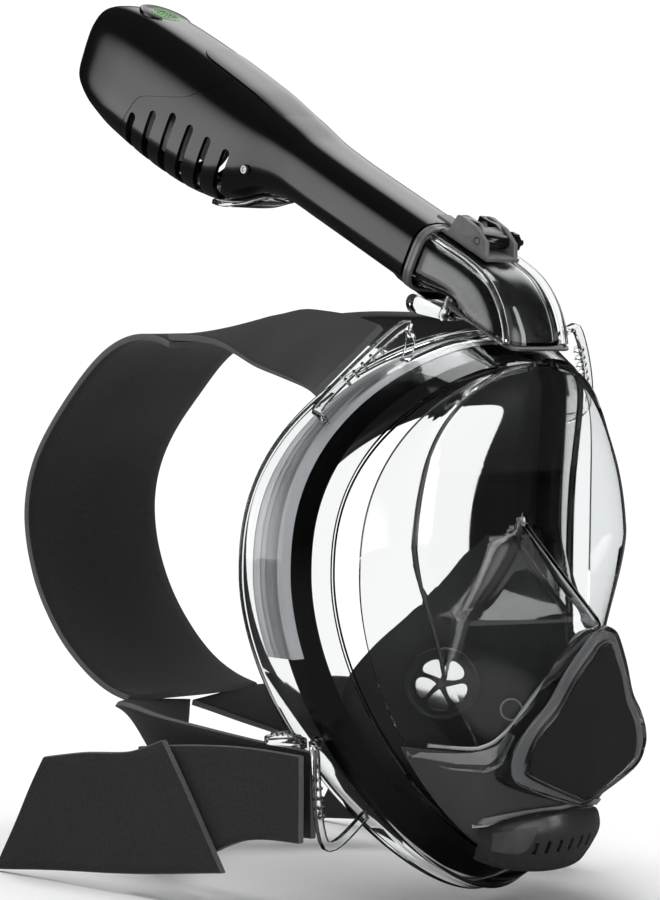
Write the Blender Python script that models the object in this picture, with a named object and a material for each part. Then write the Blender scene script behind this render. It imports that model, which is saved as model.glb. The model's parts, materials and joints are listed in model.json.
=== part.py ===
"""Full face snorkel: a clear mask with a silicone skirt, a four-arm neoprene harness,
a clear air elbow and a detachable snorkel with a grilled dry top.

Frame: +Z up, the mask looks along -Y, the wearer's right side is -X. The origin is the
centre of the face seal opening. Lengths below are millimetres; objects are built in metres.
"""
import math

import bmesh
import bpy
from mathutils import Vector

MM = 0.001
GAP = 0.3                       # clearance between two pieces that touch

# ---- driving dimensions of the mask (mm)
RIM_HALF_WIDTH = 90.0
RIM_CENTRE_Z = 15.0             # level where the rim is widest
RIM_RISE = 104.0                # from that level to the top of the rim
RIM_DROP = 139.0                # from that level to the chin
RIM_TOP_POWER = 2.35            # squareness of the brow outline
RIM_CHIN_POWER = 1.85           # squareness of the chin outline
RIM_SIDE_Y = 8.0                # how far back the rim's front corner lies at the temples
RIM_BOW = 47.0                  # how far the rim bows forward at the middle
RIM_BOW_TILT = 0.027            # extra bow per millimetre of height
BEVEL_DEPTH = 18.0              # the clear bevel from the rim's corner to the lens
LENS_INSET = 14.5
LENS_THICKNESS = 2.0
PANEL_Y = -50.0                 # flat front of the lens
CREASE_HALF_WIDTH = 69.5
CHEEK_HALF_WIDTH = 50.0
BRIDGE_Z = 37.0                 # where the nose ridge leaves the flat panel
NOSE_Y = -92.0                  # the ridge's foremost point
NOSE_Z = -4.0
JAW_TURN_Z = -62.0              # below this the jaw falls back to the chin

# ---- driving dimensions of the snorkel (mm), in its own axes: s up the tube, n to its front
TUBE_ANGLE = math.radians(28.0)
TUBE_FOOT = Vector((0.0, 2.7, 154.2))
TUBE_WALL = 2.0
SLOT_COUNT = 6
SLOT_PITCH = 13.3
SLOT_WIDTH = 4.8
SLOT_FIRST = 121.3
SLOT_TOP = -10.5
SLOT_STEP_DOWN = (0.0, 0.0, 0.0, 0.0, 5.0, 12.0)    # the last slots start lower
FLOAT_HINGE = (188.0, -8.0)     # (s, n) of the float pin

# ---- driving dimensions of the harness (mm)
STRAP_THICKNESS = 3.0
HUB_CENTRE = (152.0, 31.0)      # (y, z) of the back panel's arc
HUB_RADIUS = 88.0
HUB_HALF_WIDTH = 42.0

# ---- places of the smaller pieces (mm)
UPPER_LUG = [(74.6, -2.3, 80.1), (86, -12, 88), (55, -31, 121), (47.0, -23.6, 106.6)]
LOWER_LUG = [(72.6, 0.3, -57.7), (88, -9, -58), (84, -11, -98), (55.2, -7.7, -87.9)]
DRAIN_CENTRE = (0.0, -60.0, -98.0)
DRAIN_AXIS = (0.0, -0.93, -0.37)
VALVE_RADIUS = 15.0
VALVE_BORE = 11.4
# level: (half width at the face, y at the face, y of the ridge, fullness)
POCKET_TABLE = [(-86, 27, -21, -42, 2), (-79, 39, -16, -56, 5), (-70, 49, -10, -66, 7),
                (-60, 56, -5.5, -73, 6), (-46, 62, -1.5, -78, 2), (-31, 61, -2, -79, 0),
                (-16, 50, -8, -78, 0), (0, 34, -17, -74, 0), (12, 22, -22, -62, 0),
                (22, 14, -26, -52, 0), (31, 7, -33, -44, 0)]
# (level, half width) of the front plate and (half width, level) of its surround
SHIELD_HALF = [(-13, 3), (-16, 5.5), (-27, 14), (-40, 21.5), (-49, 30), (-57, 34), (-63, 34.5),
               (-67, 31), (-79, 3)]
BEZEL_HALF = [(0, -5), (6, -7), (11, -11), (20, -23), (28, -36), (37, -45), (43.5, -54), (45, -62),
              (38, -71), (6, -81.5), (0, -82.5)]
# (front y, z), (back y, z), half width of each section of the air elbow, from the tube down
ELBOW = [((-5.3, 165.2), (7.8, 140.5), 18.0), ((-19.5, 157.7), (1.0, 138.2), 18.2),
         ((-33.7, 150.2), (-7.0, 136.4), 18.6), ((-45.0, 142.0), (-13.0, 135.2), 19.0),
         ((-52.5, 131.5), (-17.5, 134.0), 19.4), ((-56.3, 121.0), (-20.5, 132.9), 19.8),
         ((-57.5, 112.8), (-22.0, 131.8), 20.0)]
LEVER_PIVOT = (-24.0, -19.0)
LEVER_GRIP = (-3.0, -23.6)
MOUNT_PIVOT = (-28.0, 19.4)
BADGE_S = 214.0
# s: (front, back, half width) of the snorkel's outer skin
HEAD_TABLE = [(0, 14.3, -15.8, 18.2), (62, 14.3, -15.8, 18.2), (85, 15.0, -16.2, 18.8),
              (100, 16.8, -21.0, 20.5), (113, 18.2, -30.0, 22.3), (128, 19.5, -37.0, 23.6),
              (150, 20.6, -40.5, 24.2), (180, 21.6, -41.0, 24.5), (210, 21.2, -38.8, 24.2),
              (228, 19.0, -35.0, 23.0), (239, 14.5, -30.0, 20.5), (245.5, 7.0, -21.0, 15.0)]
# centre and half-width vector of each strap, for the wearer's left side
UPPER_STRAP = [((21, 134.5, 116.2), (20, 0, 0)), ((29, 96, 118.5), (18.5, 0, -5)),
               ((42, 56, 115), (16.5, 0, -12)), ((55, 16, 110), (14.5, 0, -15)),
               ((67, -10, 105.5), (14, 6, -14.5))]
LOWER_STRAP = [((21, 165, -59), (20, 0, 2)), ((43, 146, -64), (18, 4, 9)),
               ((66, 122, -70), (9, 4, 18)), ((80, 86, -75), (2, 2, 21)),
               ((84, 40, -77), (0, 0, 20)), ((83.5, -3, -78), (0, 0, 18.5))]
LOWER_LOOP = [((93, -8, -78), (0, 0, 18.5)), ((93.5, 24, -79), (0, 0, 20)),
              ((93.5, 60, -87), (0, -2, 26)), ((93.5, 96, -92), (0, -3, 27))]
STRAP_TAIL = [((97.5, 54, -87), (0, 19, 27)), ((98.5, 92, -94), (0, 3, 27)),
              ((100.5, 134, -98), (0, -10, 28)), ((103, 166, -102), (0, -18, 28))]

ALONG = Vector((0.0, math.cos(TUBE_ANGLE), math.sin(TUBE_ANGLE)))
FRONT = Vector((0.0, -math.sin(TUBE_ANGLE), math.cos(TUBE_ANGLE)))
ACROSS = Vector((1.0, 0.0, 0.0))


# ---------------------------------------------------------------- materials
def material(name, colour, roughness, metallic=0.0, transmission=0.0):
    made = bpy.data.materials.new(name)
    made.use_nodes = True
    shader = made.node_tree.nodes["Principled BSDF"]
    shader.inputs["Base Color"].default_value = (*colour, 1.0)
    shader.inputs["Roughness"].default_value = roughness
    shader.inputs["Metallic"].default_value = metallic
    shader.inputs["Transmission Weight"].default_value = transmission
    made.diffuse_color = (*colour, 1.0)
    return made


def clear_start():
    for thing in list(bpy.data.objects):
        bpy.data.objects.remove(thing)


# ---------------------------------------------------------------- mesh helpers
def solid(name, points, faces, finish):
    """One object from points in millimetres; faces are turned to point outward."""
    mesh = bpy.data.meshes.new(name)
    mesh.from_pydata([Vector(p) * MM for p in points], [], faces)
    work = bmesh.new()
    work.from_mesh(mesh)
    bmesh.ops.recalc_face_normals(work, faces=work.faces)
    work.to_mesh(mesh)
    work.free()
    mesh.shade_smooth()
    mesh.set_sharp_from_angle(angle=math.radians(32.0))
    thing = bpy.data.objects.new(name, mesh)
    thing.data.materials.append(finish)
    bpy.context.scene.collection.objects.link(thing)
    return thing


def loft(name, rings, finish, closed=False):
    """Skin a list of closed rings. An open loft gets flat ends, a closed one joins its ends."""
    size = len(rings[0])
    points = [p for ring in rings for p in ring]
    faces = []
    spans = len(rings) if closed else len(rings) - 1
    for row in range(spans):
        here = row * size
        there = (row + 1) % len(rings) * size
        for k in range(size):
            after = (k + 1) % size
            faces.append((here + k, here + after, there + after, there + k))
    if not closed:
        faces.append(tuple(range(size)))
        faces.append(tuple(range(len(points) - size, len(points))))
    return solid(name, points, faces, finish)


def sheet(name, grid, thickness, finish):
    """Thicken an open grid of points to the side its rows x columns normal points from."""
    rows = len(grid)
    columns = len(grid[0])
    inner = []
    for i in range(rows):
        for j in range(columns):
            down = Vector(grid[min(i + 1, rows - 1)][j]) - Vector(grid[max(i - 1, 0)][j])
            right = Vector(grid[i][min(j + 1, columns - 1)]) - Vector(grid[i][max(j - 1, 0)])
            inner.append(Vector(grid[i][j]) + down.cross(right).normalized() * thickness)
    outer = [Vector(p) for row in grid for p in row]
    shift = rows * columns
    faces = []
    for i in range(rows - 1):
        for j in range(columns - 1):
            a = i * columns + j
            quad = (a, a + 1, a + columns + 1, a + columns)
            faces.append(quad)
            faces.append(tuple(k + shift for k in reversed(quad)))
    edge = [j for j in range(columns)]
    edge += [i * columns + columns - 1 for i in range(1, rows)]
    edge += [(rows - 1) * columns + j for j in range(columns - 2, -1, -1)]
    edge += [i * columns for i in range(rows - 2, 0, -1)]
    for k, a in enumerate(edge):
        b = edge[(k + 1) % len(edge)]
        faces.append((b, a, a + shift, b + shift))
    return solid(name, outer + inner, faces, finish)


def disc(name, centre, axis, radius, thickness, finish, count=24):
    """A short round bar centred on a point, along an axis."""
    turn = Vector(axis).to_track_quat("Z", "Y")
    rings = []
    for end in (-0.5, 0.5):
        ring = []
        for k in range(count):
            angle = math.tau * k / count
            local = Vector((radius * math.cos(angle), radius * math.sin(angle), end * thickness))
            ring.append(Vector(centre) + turn @ local)
        rings.append(ring)
    return loft(name, rings, finish)


def annulus(name, centre, axis, outer, inner, thickness, finish, count=24):
    """A flat ring centred on a point, along an axis."""
    turn = Vector(axis).to_track_quat("Z", "Y")
    sections = []
    half = thickness / 2
    for k in range(count):
        angle = math.tau * k / count
        c, s = math.cos(angle), math.sin(angle)
        corners = ((outer, -half), (outer, half), (inner, half), (inner, -half))
        sections.append([Vector(centre) + turn @ Vector((r * c, r * s, z)) for r, z in corners])
    return loft(name, sections, finish, closed=True)


def spokes(name, centre, axis, count, reach, half_width, thickness):
    """A star of spokes that meet in one hub, for a valve seat."""
    turn = Vector(axis).to_track_quat("Z", "Y")
    outline = []
    for k in range(count):
        angle = math.tau * k / count
        along = Vector((math.cos(angle), math.sin(angle)))
        over = Vector((-along.y, along.x))
        valley = angle + math.pi / count
        outline += [along * reach - over * half_width, along * reach + over * half_width]
        outline.append(Vector((math.cos(valley), math.sin(valley))) * half_width * 2.4)
    half = thickness / 2
    return prism(name, outline, lambda u, v, w: Vector(centre) + turn @ Vector((u, v, w)), -half, half)


def prism(name, outline, lift, low, high, finish=None):
    """Extrude an outline between two distances; lift places (u, v, w) in space."""
    rings = [[lift(u, v, w) for u, v in outline] for w in (low, high)]
    return loft(name, rings, finish or CUTTER)


def boolean(target, tool, operation="DIFFERENCE"):
    change = target.modifiers.new(operation.title(), "BOOLEAN")
    change.operation = operation
    change.solver = "EXACT"
    change.object = tool
    tool.hide_render = True
    tool.display_type = "WIRE"
    return target


def bar(name, path, half_width, half_height, up, finish):
    """A rectangular bar along a path; up is its height direction."""
    rings = []
    for k, point in enumerate(path):
        before = Vector(path[max(k - 1, 0)])
        after = Vector(path[min(k + 1, len(path) - 1)])
        side = (after - before).cross(Vector(up)).normalized() * half_width
        rise = Vector(up).normalized() * half_height
        here = Vector(point)
        rings.append([here + side + rise, here - side + rise, here - side - rise, here + side - rise])
    return loft(name, rings, finish)


def tube_point(x, s, n):
    """A point in the snorkel's own axes."""
    return TUBE_FOOT + ACROSS * x + ALONG * s + FRONT * n


def side_place(s, n, x):
    """The same point, for an outline drawn on the snorkel's side."""
    return tube_point(x, s, n)


def rounded_box_ring(half_x, low, high, power, count, place):
    """A rounded rectangle: x across, from low to high the other way."""
    middle = (low + high) / 2
    half = (high - low) / 2
    ring = []
    for k in range(count):
        angle = math.tau * k / count
        c, s = math.cos(angle), math.sin(angle)
        x = half_x * math.copysign(abs(c) ** (2 / power), c)
        v = middle + half * math.copysign(abs(s) ** (2 / power), s)
        ring.append(place(x, v))
    return ring


def blend(value, low, high):
    """Smooth step from 0 to 1 as value goes from low to high."""
    t = min(1.0, max(0.0, (value - low) / (high - low)))
    return t * t * (3 - 2 * t)


def along_table(table, value):
    """Read a row of values between the stations of a short design table."""
    for before, after in zip(table, table[1:]):
        if value <= after[0]:
            t = max(0.0, (value - before[0]) / (after[0] - before[0]))
            return [a + (b - a) * t for a, b in zip(before[1:], after[1:])]
    return list(table[-1][1:])


# ---------------------------------------------------------------- shape of the mask
def rim_half_width(z, inset=0.0):
    """Half width of the rim's egg outline at a height, drawn in by an inset."""
    rise, power = (RIM_RISE, RIM_TOP_POWER) if z > RIM_CENTRE_Z else (RIM_DROP, RIM_CHIN_POWER)
    share = min(1.0, abs(z - RIM_CENTRE_Z) / (rise - inset))
    return (RIM_HALF_WIDTH - inset) * (1 - share ** power) ** (1 / power)


def rim_outline(angle, inset=0.0):
    """(x, z) on the same outline, by angle."""
    c, s = math.cos(angle), math.sin(angle)
    rise, power = (RIM_RISE, RIM_TOP_POWER) if s > 0 else (RIM_DROP, RIM_CHIN_POWER)
    x = (RIM_HALF_WIDTH - inset) * math.copysign(abs(c) ** (2 / power), c)
    z = RIM_CENTRE_Z + (rise - inset) * math.copysign(abs(s) ** (2 / power), s)
    return x, z


def rim_y(x, z):
    """How far forward the rim's corner lies: it bows round the face."""
    bow = RIM_BOW + RIM_BOW_TILT * z
    return RIM_SIDE_Y - bow * (1 - (x / RIM_HALF_WIDTH) ** 2)


def rim_depth(x):
    """Depth of the rim's side wall: deepest at the temples."""
    return 12.0 + 13.0 * (x / RIM_HALF_WIDTH) ** 2


def rim_ring(name, profile, finish, count=48):
    """A ring round the face. Each profile corner is (inset, forward shift, share of depth)."""
    sections = []
    for k in range(count):
        angle = math.tau * (k + 0.5) / count
        section = []
        for inset, shift, share in profile:
            x, z = rim_outline(angle, inset)
            outer_x, outer_z = rim_outline(angle)
            y = rim_y(outer_x, outer_z) + shift + share * rim_depth(outer_x)
            section.append((x, y, z))
        sections.append(section)
    return loft(name, sections, finish, closed=True)


def crease_half_width(z):
    """Half width of the lens's front, out to the crease before its side panes."""
    edge = rim_half_width(z, LENS_INSET)
    crease = CHEEK_HALF_WIDTH + (CREASE_HALF_WIDTH - CHEEK_HALF_WIDTH) * blend(z, -35.0, 35.0)
    if z > 40.0:
        share = min(1.0, (z - 40.0) / 64.0)
        crease = max(CREASE_HALF_WIDTH * (1 - share ** 2.1) ** (1 / 2.1), 0.45 * edge)
    return min(crease, max(edge - 6.0, 0.8 * edge))


def front_y(x, z):
    """The front surface of lens and jaw: a flat panel with a nose ridge that becomes the jaw."""
    x = abs(x)
    panel = PANEL_Y - 12.0 * max(0.0, z - 60.0) / 52.0 * (1 - min(1.0, x / 60.0) ** 2)
    if z >= BRIDGE_Z:
        return panel
    slope = max(0.25, 0.25 + 0.0157 * (z + 60.0))
    ridge = max(NOSE_Y, PANEL_Y - 1.03 * (BRIDGE_Z - z))
    if z < NOSE_Z:
        ridge = NOSE_Y + 0.17 * (NOSE_Z - z)
    fall = 0.45 * max(0.0, JAW_TURN_Z - z)
    return min(panel, ridge + slope * x) + fall


def front_half_section(z):
    """Points of one half of a level cut through lens or jaw, from the middle to the rim."""
    crease = crease_half_width(z)
    edge = rim_half_width(z, LENS_INSET)
    half = [(share * crease, front_y(share * crease, z)) for share in (0.0, 0.14, 0.4, 0.7, 1.0)]
    edge_y = rim_y(edge, z) - BEVEL_DEPTH + 0.5
    half.append(((crease + edge) / 2 + 0.8, (half[-1][1] + edge_y) / 2 - 0.8))
    half.append((edge, edge_y))
    return half


def front_grid(levels):
    grid = []
    for z in levels:
        half = front_half_section(z)
        row = [(-x, y, z) for x, y in reversed(half[1:])]
        row += [(x, y, z) for x, y in half]
        grid.append(row)
    return grid


def border_outline(shift, top):
    """Outline of all that lies above (top=True) or below the edge between lens and jaw."""
    half = [(0, -7), (10, -20), (30, -46), (45, -55), (58, -56), (95, -52)]
    edge = [(-x, z + shift) for x, z in reversed(half)] + [(x, z + shift) for x, z in half[1:]]
    far = 140 if top else -150
    return edge + [(95, far), (-95, far)]


def facing_front(x, z, y):
    return Vector((x, y, z))


def make_lens():
    levels = [-70, -58, -47, -38, -29, -20, -12, -4, 5, 14, 24, 37, 52, 68, 80, 90, 97, 102, 104.3]
    lens = sheet("lens", front_grid(levels), LENS_THICKNESS, CLEAR)
    below = prism("lens_cutter", border_outline(0.0, False), facing_front, -140, 60)
    return boolean(lens, below)


def make_jaw():
    levels = [0, -8, -16, -25, -35, -45, -54, -62, -70, -78, -86, -94, -101, -106.5]
    jaw = sheet("jaw_frame", front_grid(levels), -2.2, SMOKE)
    above = prism("jaw_cutter", border_outline(-GAP, True), facing_front, -140, 60)
    drain_hole = disc("drain_cutter", DRAIN_CENTRE, DRAIN_AXIS, 10.8, 30.0, CUTTER)
    return boolean(boolean(jaw, above), drain_hole)


def make_lens_frame():
    profile = [(11.5, -18.0, 0.0), (0.0, 0.0, 0.0), (-1.0, 0.0, 1.0), (2.0, 0.0, 1.0),
               (3.0, 1.5, 0.0), (13.8, -15.6, 0.0)]
    frame = rim_ring("lens_frame", profile, CLEAR)
    for side in (-1, 1):
        path = [(side * x, y, z) for x, y, z in UPPER_LUG]
        boolean(frame, bar("lug_upper", path, 2.2, 2.0, (0, 1, 0), CUTTER), "UNION")
        path = [(side * x, y, z) for x, y, z in LOWER_LUG]
        boolean(frame, bar("lug_lower", path, 2.2, 2.0, (0, 1, 0), CUTTER), "UNION")
    duct = [(-11, -46), (11, -46), (11, -33), (-11, -33)]
    hole = prism("duct_cutter", duct, lambda x, y, z: Vector((x, y, z)), 104, 130)
    return boolean(frame, hole)


def make_inner_frame():
    profile = [(14.6, -12.0, 0.0), (12.2, -10.0, 0.0), (4.8, 2.2, 0.0), (4.0, 8.0, 0.0),
               (9.0, 8.0, 0.0), (15.6, -3.0, 0.0)]
    frame = rim_ring("inner_frame", profile, BLACK)
    duct = [(-11, -52), (11, -52), (11, -28), (-11, -28)]
    hole = prism("inner_duct_cutter", duct, lambda x, y, z: Vector((x, y, z)), 100, 130)
    return boolean(frame, hole)


def make_skirt():
    profile = [(6.5, 8.4, 0.0), (7.5, 10.6, 0.0), (23.2, -0.6, 0.84), (30.6, 3.9, 1.0),
               (31.2, 2.4, 1.0), (24.6, -2.6, 0.84), (12.6, 8.4, 0.0)]
    return rim_ring("face_skirt", profile, SILICONE)


def pocket_half_section(z):
    """Half a level cut of the nose pocket: from the face edge forward to its ridge."""
    face_x, face_y, ridge_y, fullness = along_table(POCKET_TABLE, z)
    half = []
    for share in (0.0, 0.25, 0.5, 0.75, 0.92, 1.0):
        x = face_x * (1 - share)
        bulge = fullness * math.sin(math.pi * share) ** 2
        half.append((x, face_y + (ridge_y - face_y) * share - bulge))
    return half


def make_pocket():
    grid = []
    for z in (-86, -79, -70, -60, -46, -31, -16, 0, 12, 22, 31):
        half = pocket_half_section(z)
        row = [(-x, y, z) for x, y in half] + [(x, y, z) for x, y in reversed(half[:-1])]
        grid.append(row)
    pocket = sheet("nose_pocket", grid, 2.0, POCKET)
    for side in (-1, 1):
        centre, axis = valve_place(side)
        hole = disc("pocket_cutter", centre, axis, VALVE_RADIUS + 1.0, 26.0, CUTTER)
        boolean(pocket, hole)
        boolean(pocket, disc("plug_cutter", cheek_place(side), axis, 5.0, 22.0, CUTTER, 16))
    return pocket


def valve_place(side):
    """Centre and outward axis of an inhale valve."""
    axis = Vector((side * 0.78, -0.62, 0.0))
    return Vector((side * 40.5, -38.6, -31.0)), axis


def cheek_place(side):
    return Vector((side * 24.0, -63.5, -41.0))


def make_inhale_valves():
    for side, word in ((-1, "right"), (1, "left")):
        centre, axis = valve_place(side)
        axis.normalize()
        seat = annulus("inhale_seat_" + word, centre, axis, VALVE_RADIUS, VALVE_BORE, 3.0, POCKET)
        boolean(seat, spokes("valve_spokes", centre, axis, 5, VALVE_BORE + 1.2, 1.1, 1.8), "UNION")
        flap_centre = centre - axis * (1.5 + GAP + 0.5)
        disc("inhale_flap_" + word, flap_centre, axis, VALVE_BORE + 1.2, 0.8, SILICONE_CLEAR)
        disc("cheek_valve_" + word, cheek_place(side), axis, 4.6, 5.0, CLEAR, 16)


def shield_y(x, z):
    """The front plate's own surface, slightly folded down the middle."""
    return -96.0 + 0.17 * (-16.0 - z) + 0.14 * abs(x)


def make_shield():
    grid = []
    for z, x in SHIELD_HALF:
        grid.append([(x * share, shield_y(x * share, z), z) for share in (-1, -0.5, 0, 0.5, 1)])
    sheet("front_shield", grid, -2.4, BLACK)


def make_bezel():
    """Clear surround of the front plate, reaching back to the jaw."""
    inner = [(0.0, SHIELD_HALF[0][0] + 1.6)]
    inner += [(x + 1.5 * GAP, z) for z, x in SHIELD_HALF]
    inner.append((0.0, SHIELD_HALF[-1][0] - 0.8))
    pairs = list(zip(inner, BEZEL_HALF))
    mirrored = [((-a[0], a[1]), (-b[0], b[1])) for a, b in reversed(pairs[1:-1])]
    sections = []
    for (ix, iz), (ox, oz) in pairs + mirrored:
        inner_front = shield_y(ix, iz) - 0.4
        outer_front = shield_y(ox, oz) + 1.5
        inner_back = min(inner_front + 6.0, front_y(ix, iz) - 0.6)
        outer_back = max(outer_front + 2.0, min(front_y(ox, oz) - 0.6, outer_front + 9.0))
        sections.append([(ix, inner_front, iz), (ox, outer_front, oz),
                         (ox, outer_back, oz), (ix, inner_back, iz)])
    loft("shield_bezel", sections, CLEAR, closed=True)


def drain_arc(angle, radius_shift=0.0):
    """A point on the drain cover's bow, seen from above."""
    x = (38.5 + radius_shift) * math.sin(angle)
    return x, -52.5 - (20.8 + 0.6 * radius_shift) * math.cos(angle) ** 0.9


def make_drain():
    axis = Vector(DRAIN_AXIS).normalized()
    centre = Vector(DRAIN_CENTRE)
    seat = annulus("drain_seat", centre + axis * 3.8, axis, 13.6, 10.4, 3.0, SMOKE)
    boolean(seat, spokes("drain_spokes", centre + axis * 3.8, axis, 4, 11.4, 1.1, 1.8), "UNION")
    disc("drain_flap", centre + axis * (5.3 + GAP + 0.4), axis, 11.4, 0.8, SILICONE_CLEAR)
    grid = []
    steps = 12
    for k in range(steps + 1):
        angle = math.radians(-80 + 160 * k / steps)
        middle = math.cos(angle)
        x, y = drain_arc(angle)
        inner_x, inner_y = drain_arc(angle, -5.0)
        top = -92.5 + 6.5 * middle
        low = -101.0 - 8.0 * middle
        grid.append([(inner_x, inner_y, top + 1.0), (x, y, top), (x * 1.01, y - 1.5, (top + low) / 2),
                     (x * 0.97, y + 2.0, low + 2.0), (x * 0.91, y + 5.0, low - 2.8)])
    cover = sheet("drain_cover", grid, 1.8, GREY)
    for k in range(6):
        angle = math.radians(-25 + 10 * k)
        x, y = drain_arc(angle)
        out = Vector((math.sin(angle), -math.cos(angle), -0.25)).normalized()
        middle = Vector((x, y + 2.0, -100.0))
        path = [middle - out * 8.0, middle + out * 8.0]
        boolean(cover, bar("drain_slot", path, 1.1, 3.0, (0.25, 0.0, 1.0), CUTTER))


# ---------------------------------------------------------------- duct and latch
def elbow_ring(station, wall, count=20):
    """A rounded rectangle between a front and a back point of the duct."""
    (front_y_mm, front_z), (back_y_mm, back_z), half_x = station
    back = Vector((0, back_y_mm, back_z))
    span = Vector((0, front_y_mm, front_z)) - back
    length = span.length
    span.normalize()
    return rounded_box_ring(half_x - wall, wall, length - wall, 4.0, count,
                            lambda x, v: back + span * v + ACROSS * x)


def make_elbow():
    outer = [elbow_ring(station, 0.0) for station in ELBOW]
    inner = [elbow_ring(station, 2.2) for station in ELBOW]
    elbow = loft("elbow_duct", outer + inner[::-1], CLEAR, closed=True)
    for side in (-1, 1):
        foot = tube_point(side * 7.9, LEVER_PIVOT[0], -8.4)
        tip = tube_point(side * 7.9, LEVER_PIVOT[0], LEVER_PIVOT[1] - 2.6)
        boolean(elbow, bar("lever_ear", [foot, tip], 2.4, 0.9, (1, 0, 0), CUTTER), "UNION")
    pin_hole = disc("ear_cutter", tube_point(0, *LEVER_PIVOT), ACROSS, 1.3, 24.0, CUTTER, 16)
    boolean(elbow, pin_hole)

    rings = []
    for s, grow in ((-7.0, 2.0), (-2.6, 2.0), (-2.6, GAP), (-7.0, GAP)):
        rings.append(rounded_box_ring(18.0 + grow, -14.5 - grow * 0.9, 13.5 + grow * 0.9, 4.0, 24,
                                      lambda x, n, s=s: tube_point(x, s, n)))
    loft("elbow_collar", rings, WHITE_CLEAR, closed=True)

    rings = []
    for drop, half_x, end in ((0.4, 21.5, 2.0), (1.5, 21.5, 2.0), (1.5, 14.5, -6.0), (0.4, 14.5, -6.0)):
        front, back, _ = ELBOW[-1]
        back_point = Vector((0, back[0], back[1] - drop))
        span = Vector((0, front[0] - back[0], front[1] - back[1]))
        length = span.length
        span.normalize()
        rings.append(rounded_box_ring(half_x, -end, length + end, 4.0, 24,
                                      lambda x, v, p=back_point, d=span: p + d * v + ACROSS * x))
    loft("elbow_seat", rings, SMOKE, closed=True)


def make_lever():
    pivot_s, pivot_n = LEVER_PIVOT
    grip_s, grip_n = LEVER_GRIP
    outline = []
    lean = math.atan2(grip_n - pivot_n, grip_s - pivot_s)
    for k in range(9):
        angle = lean + math.pi / 2 + math.pi * k / 8
        outline.append((pivot_s + 2.2 * math.cos(angle), pivot_n + 2.2 * math.sin(angle)))
    for k in range(11):
        angle = lean - math.pi / 2 + math.pi * k / 10
        outline.append((grip_s + 4.1 * math.cos(angle), grip_n + 4.1 * math.sin(angle)))
    lever = prism("release_lever", outline, side_place, -6.2, 6.2, CLEAR)
    hole = disc("lever_cutter", tube_point(0, pivot_s, pivot_n), ACROSS, 1.3, 20.0, CUTTER, 16)
    boolean(lever, hole)
    disc("lever_pin", tube_point(0, pivot_s, pivot_n), ACROSS, 1.0, 17.0, STEEL, 12)


def make_camera_mount():
    base_side = [(-37, 13.9), (-37, 15.6), (-7.4, 15.6), (-7.4, 13.9)]
    base = prism("mount_base", base_side, side_place, -10.5, 10.5, GREY)
    tongue = [(-14, 15.0), (-14, 17.0), (3.5, 17.0), (3.5, 15.7), (-7.0, 15.7), (-8.0, 15.0)]
    boolean(base, prism("mount_tongue", tongue, side_place, -4.0, 4.0), "UNION")
    cheek = [(-36, 15.0), (-10.5, 15.0), (-12.7, 24.5), (-15.5, 25.2), (-25, 24.4), (-33, 21.0)]
    for side in (-1, 1):
        low, high = sorted((side * 8.0, side * 10.5))
        boolean(base, prism("mount_cheek", cheek, side_place, low, high), "UNION")
    pivot = tube_point(0, *MOUNT_PIVOT)
    boolean(base, disc("cheek_cutter", pivot, ACROSS, 1.7, 40.0, CUTTER, 16))

    pivot_s, pivot_n = MOUNT_PIVOT
    body = [(-12.5, 17.6), (-12.5, 24.6), (-22.0, 25.0)]
    for k in range(7):
        angle = math.radians(80 + 190 * k / 6)
        body.append((pivot_s + 3.3 * math.cos(angle), pivot_n + 3.3 * math.sin(angle)))
    swivel = prism("camera_mount", body, side_place, -7.5, 7.5, BLACK)
    hollow = [(-23.5, 19.4), (-23.5, 32.0), (-10.0, 32.0), (-10.0, 19.4)]
    boolean(swivel, prism("hollow_cutter", hollow, side_place, -3.6, 3.6))
    boolean(swivel, disc("swivel_cutter", pivot, ACROSS, 1.7, 40.0, CUTTER, 16))

    shaft = disc("thumb_screw", pivot + ACROSS * 4.4, ACROSS, 1.4, 29.4, BLACK, 16)
    knob = disc("knob", pivot + ACROSS * 12.6, ACROSS, 4.4, 3.2, CUTTER, 12)
    boolean(shaft, knob, "UNION")


# ---------------------------------------------------------------- snorkel
def head_ring(s, wall, count=28):
    front, back, half_x = along_table(HEAD_TABLE, s)
    return rounded_box_ring(half_x - wall, back + wall, front - wall, 3.6, count,
                            lambda x, n: tube_point(x, s, n))


def skin_n(x, s, side):
    """Where the snorkel's front (side 1) or back (side -1) skin lies at x."""
    front, back, half_x = along_table(HEAD_TABLE, s)
    half = (front - back) / 2
    return (front + back) / 2 + side * half * (1 - abs(x / half_x) ** 3.6) ** (1 / 3.6)


def snorkel_shell(name, finish):
    """The hollow outer skin of the whole snorkel, before it is parted."""
    spigot = [rounded_box_ring(15.2, -10.2, 10.6, 4.0, 28, lambda x, n, s=s: tube_point(x, s, n))
              for s in (-11.0, 0.2)]
    stations = [0.4] + [row[0] for row in HEAD_TABLE[1:]]
    shell = loft(name, spigot + [head_ring(s, 0.0) for s in stations], finish)
    bore = [rounded_box_ring(13.2, -8.2, 8.6, 4.0, 28, lambda x, n, s=s: tube_point(x, s, n))
            for s in (-15.0, 3.0)]
    stations = [12.0] + [row[0] for row in HEAD_TABLE[2:-1]]
    cavity = loft(name + "_bore", bore + [head_ring(s, TUBE_WALL) for s in stations], CUTTER)
    return boolean(shell, cavity)


def cap_outline(shift):
    """The parting line between the grilled lower head and its cap, in (s, n)."""
    return [(141 + shift, 34), (141 + shift, 17), (157 + shift, 2), (188.5 + shift, -11.5),
            (196 + shift, -32), (199 + shift, -52), (265, -52), (265, 34)]


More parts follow.
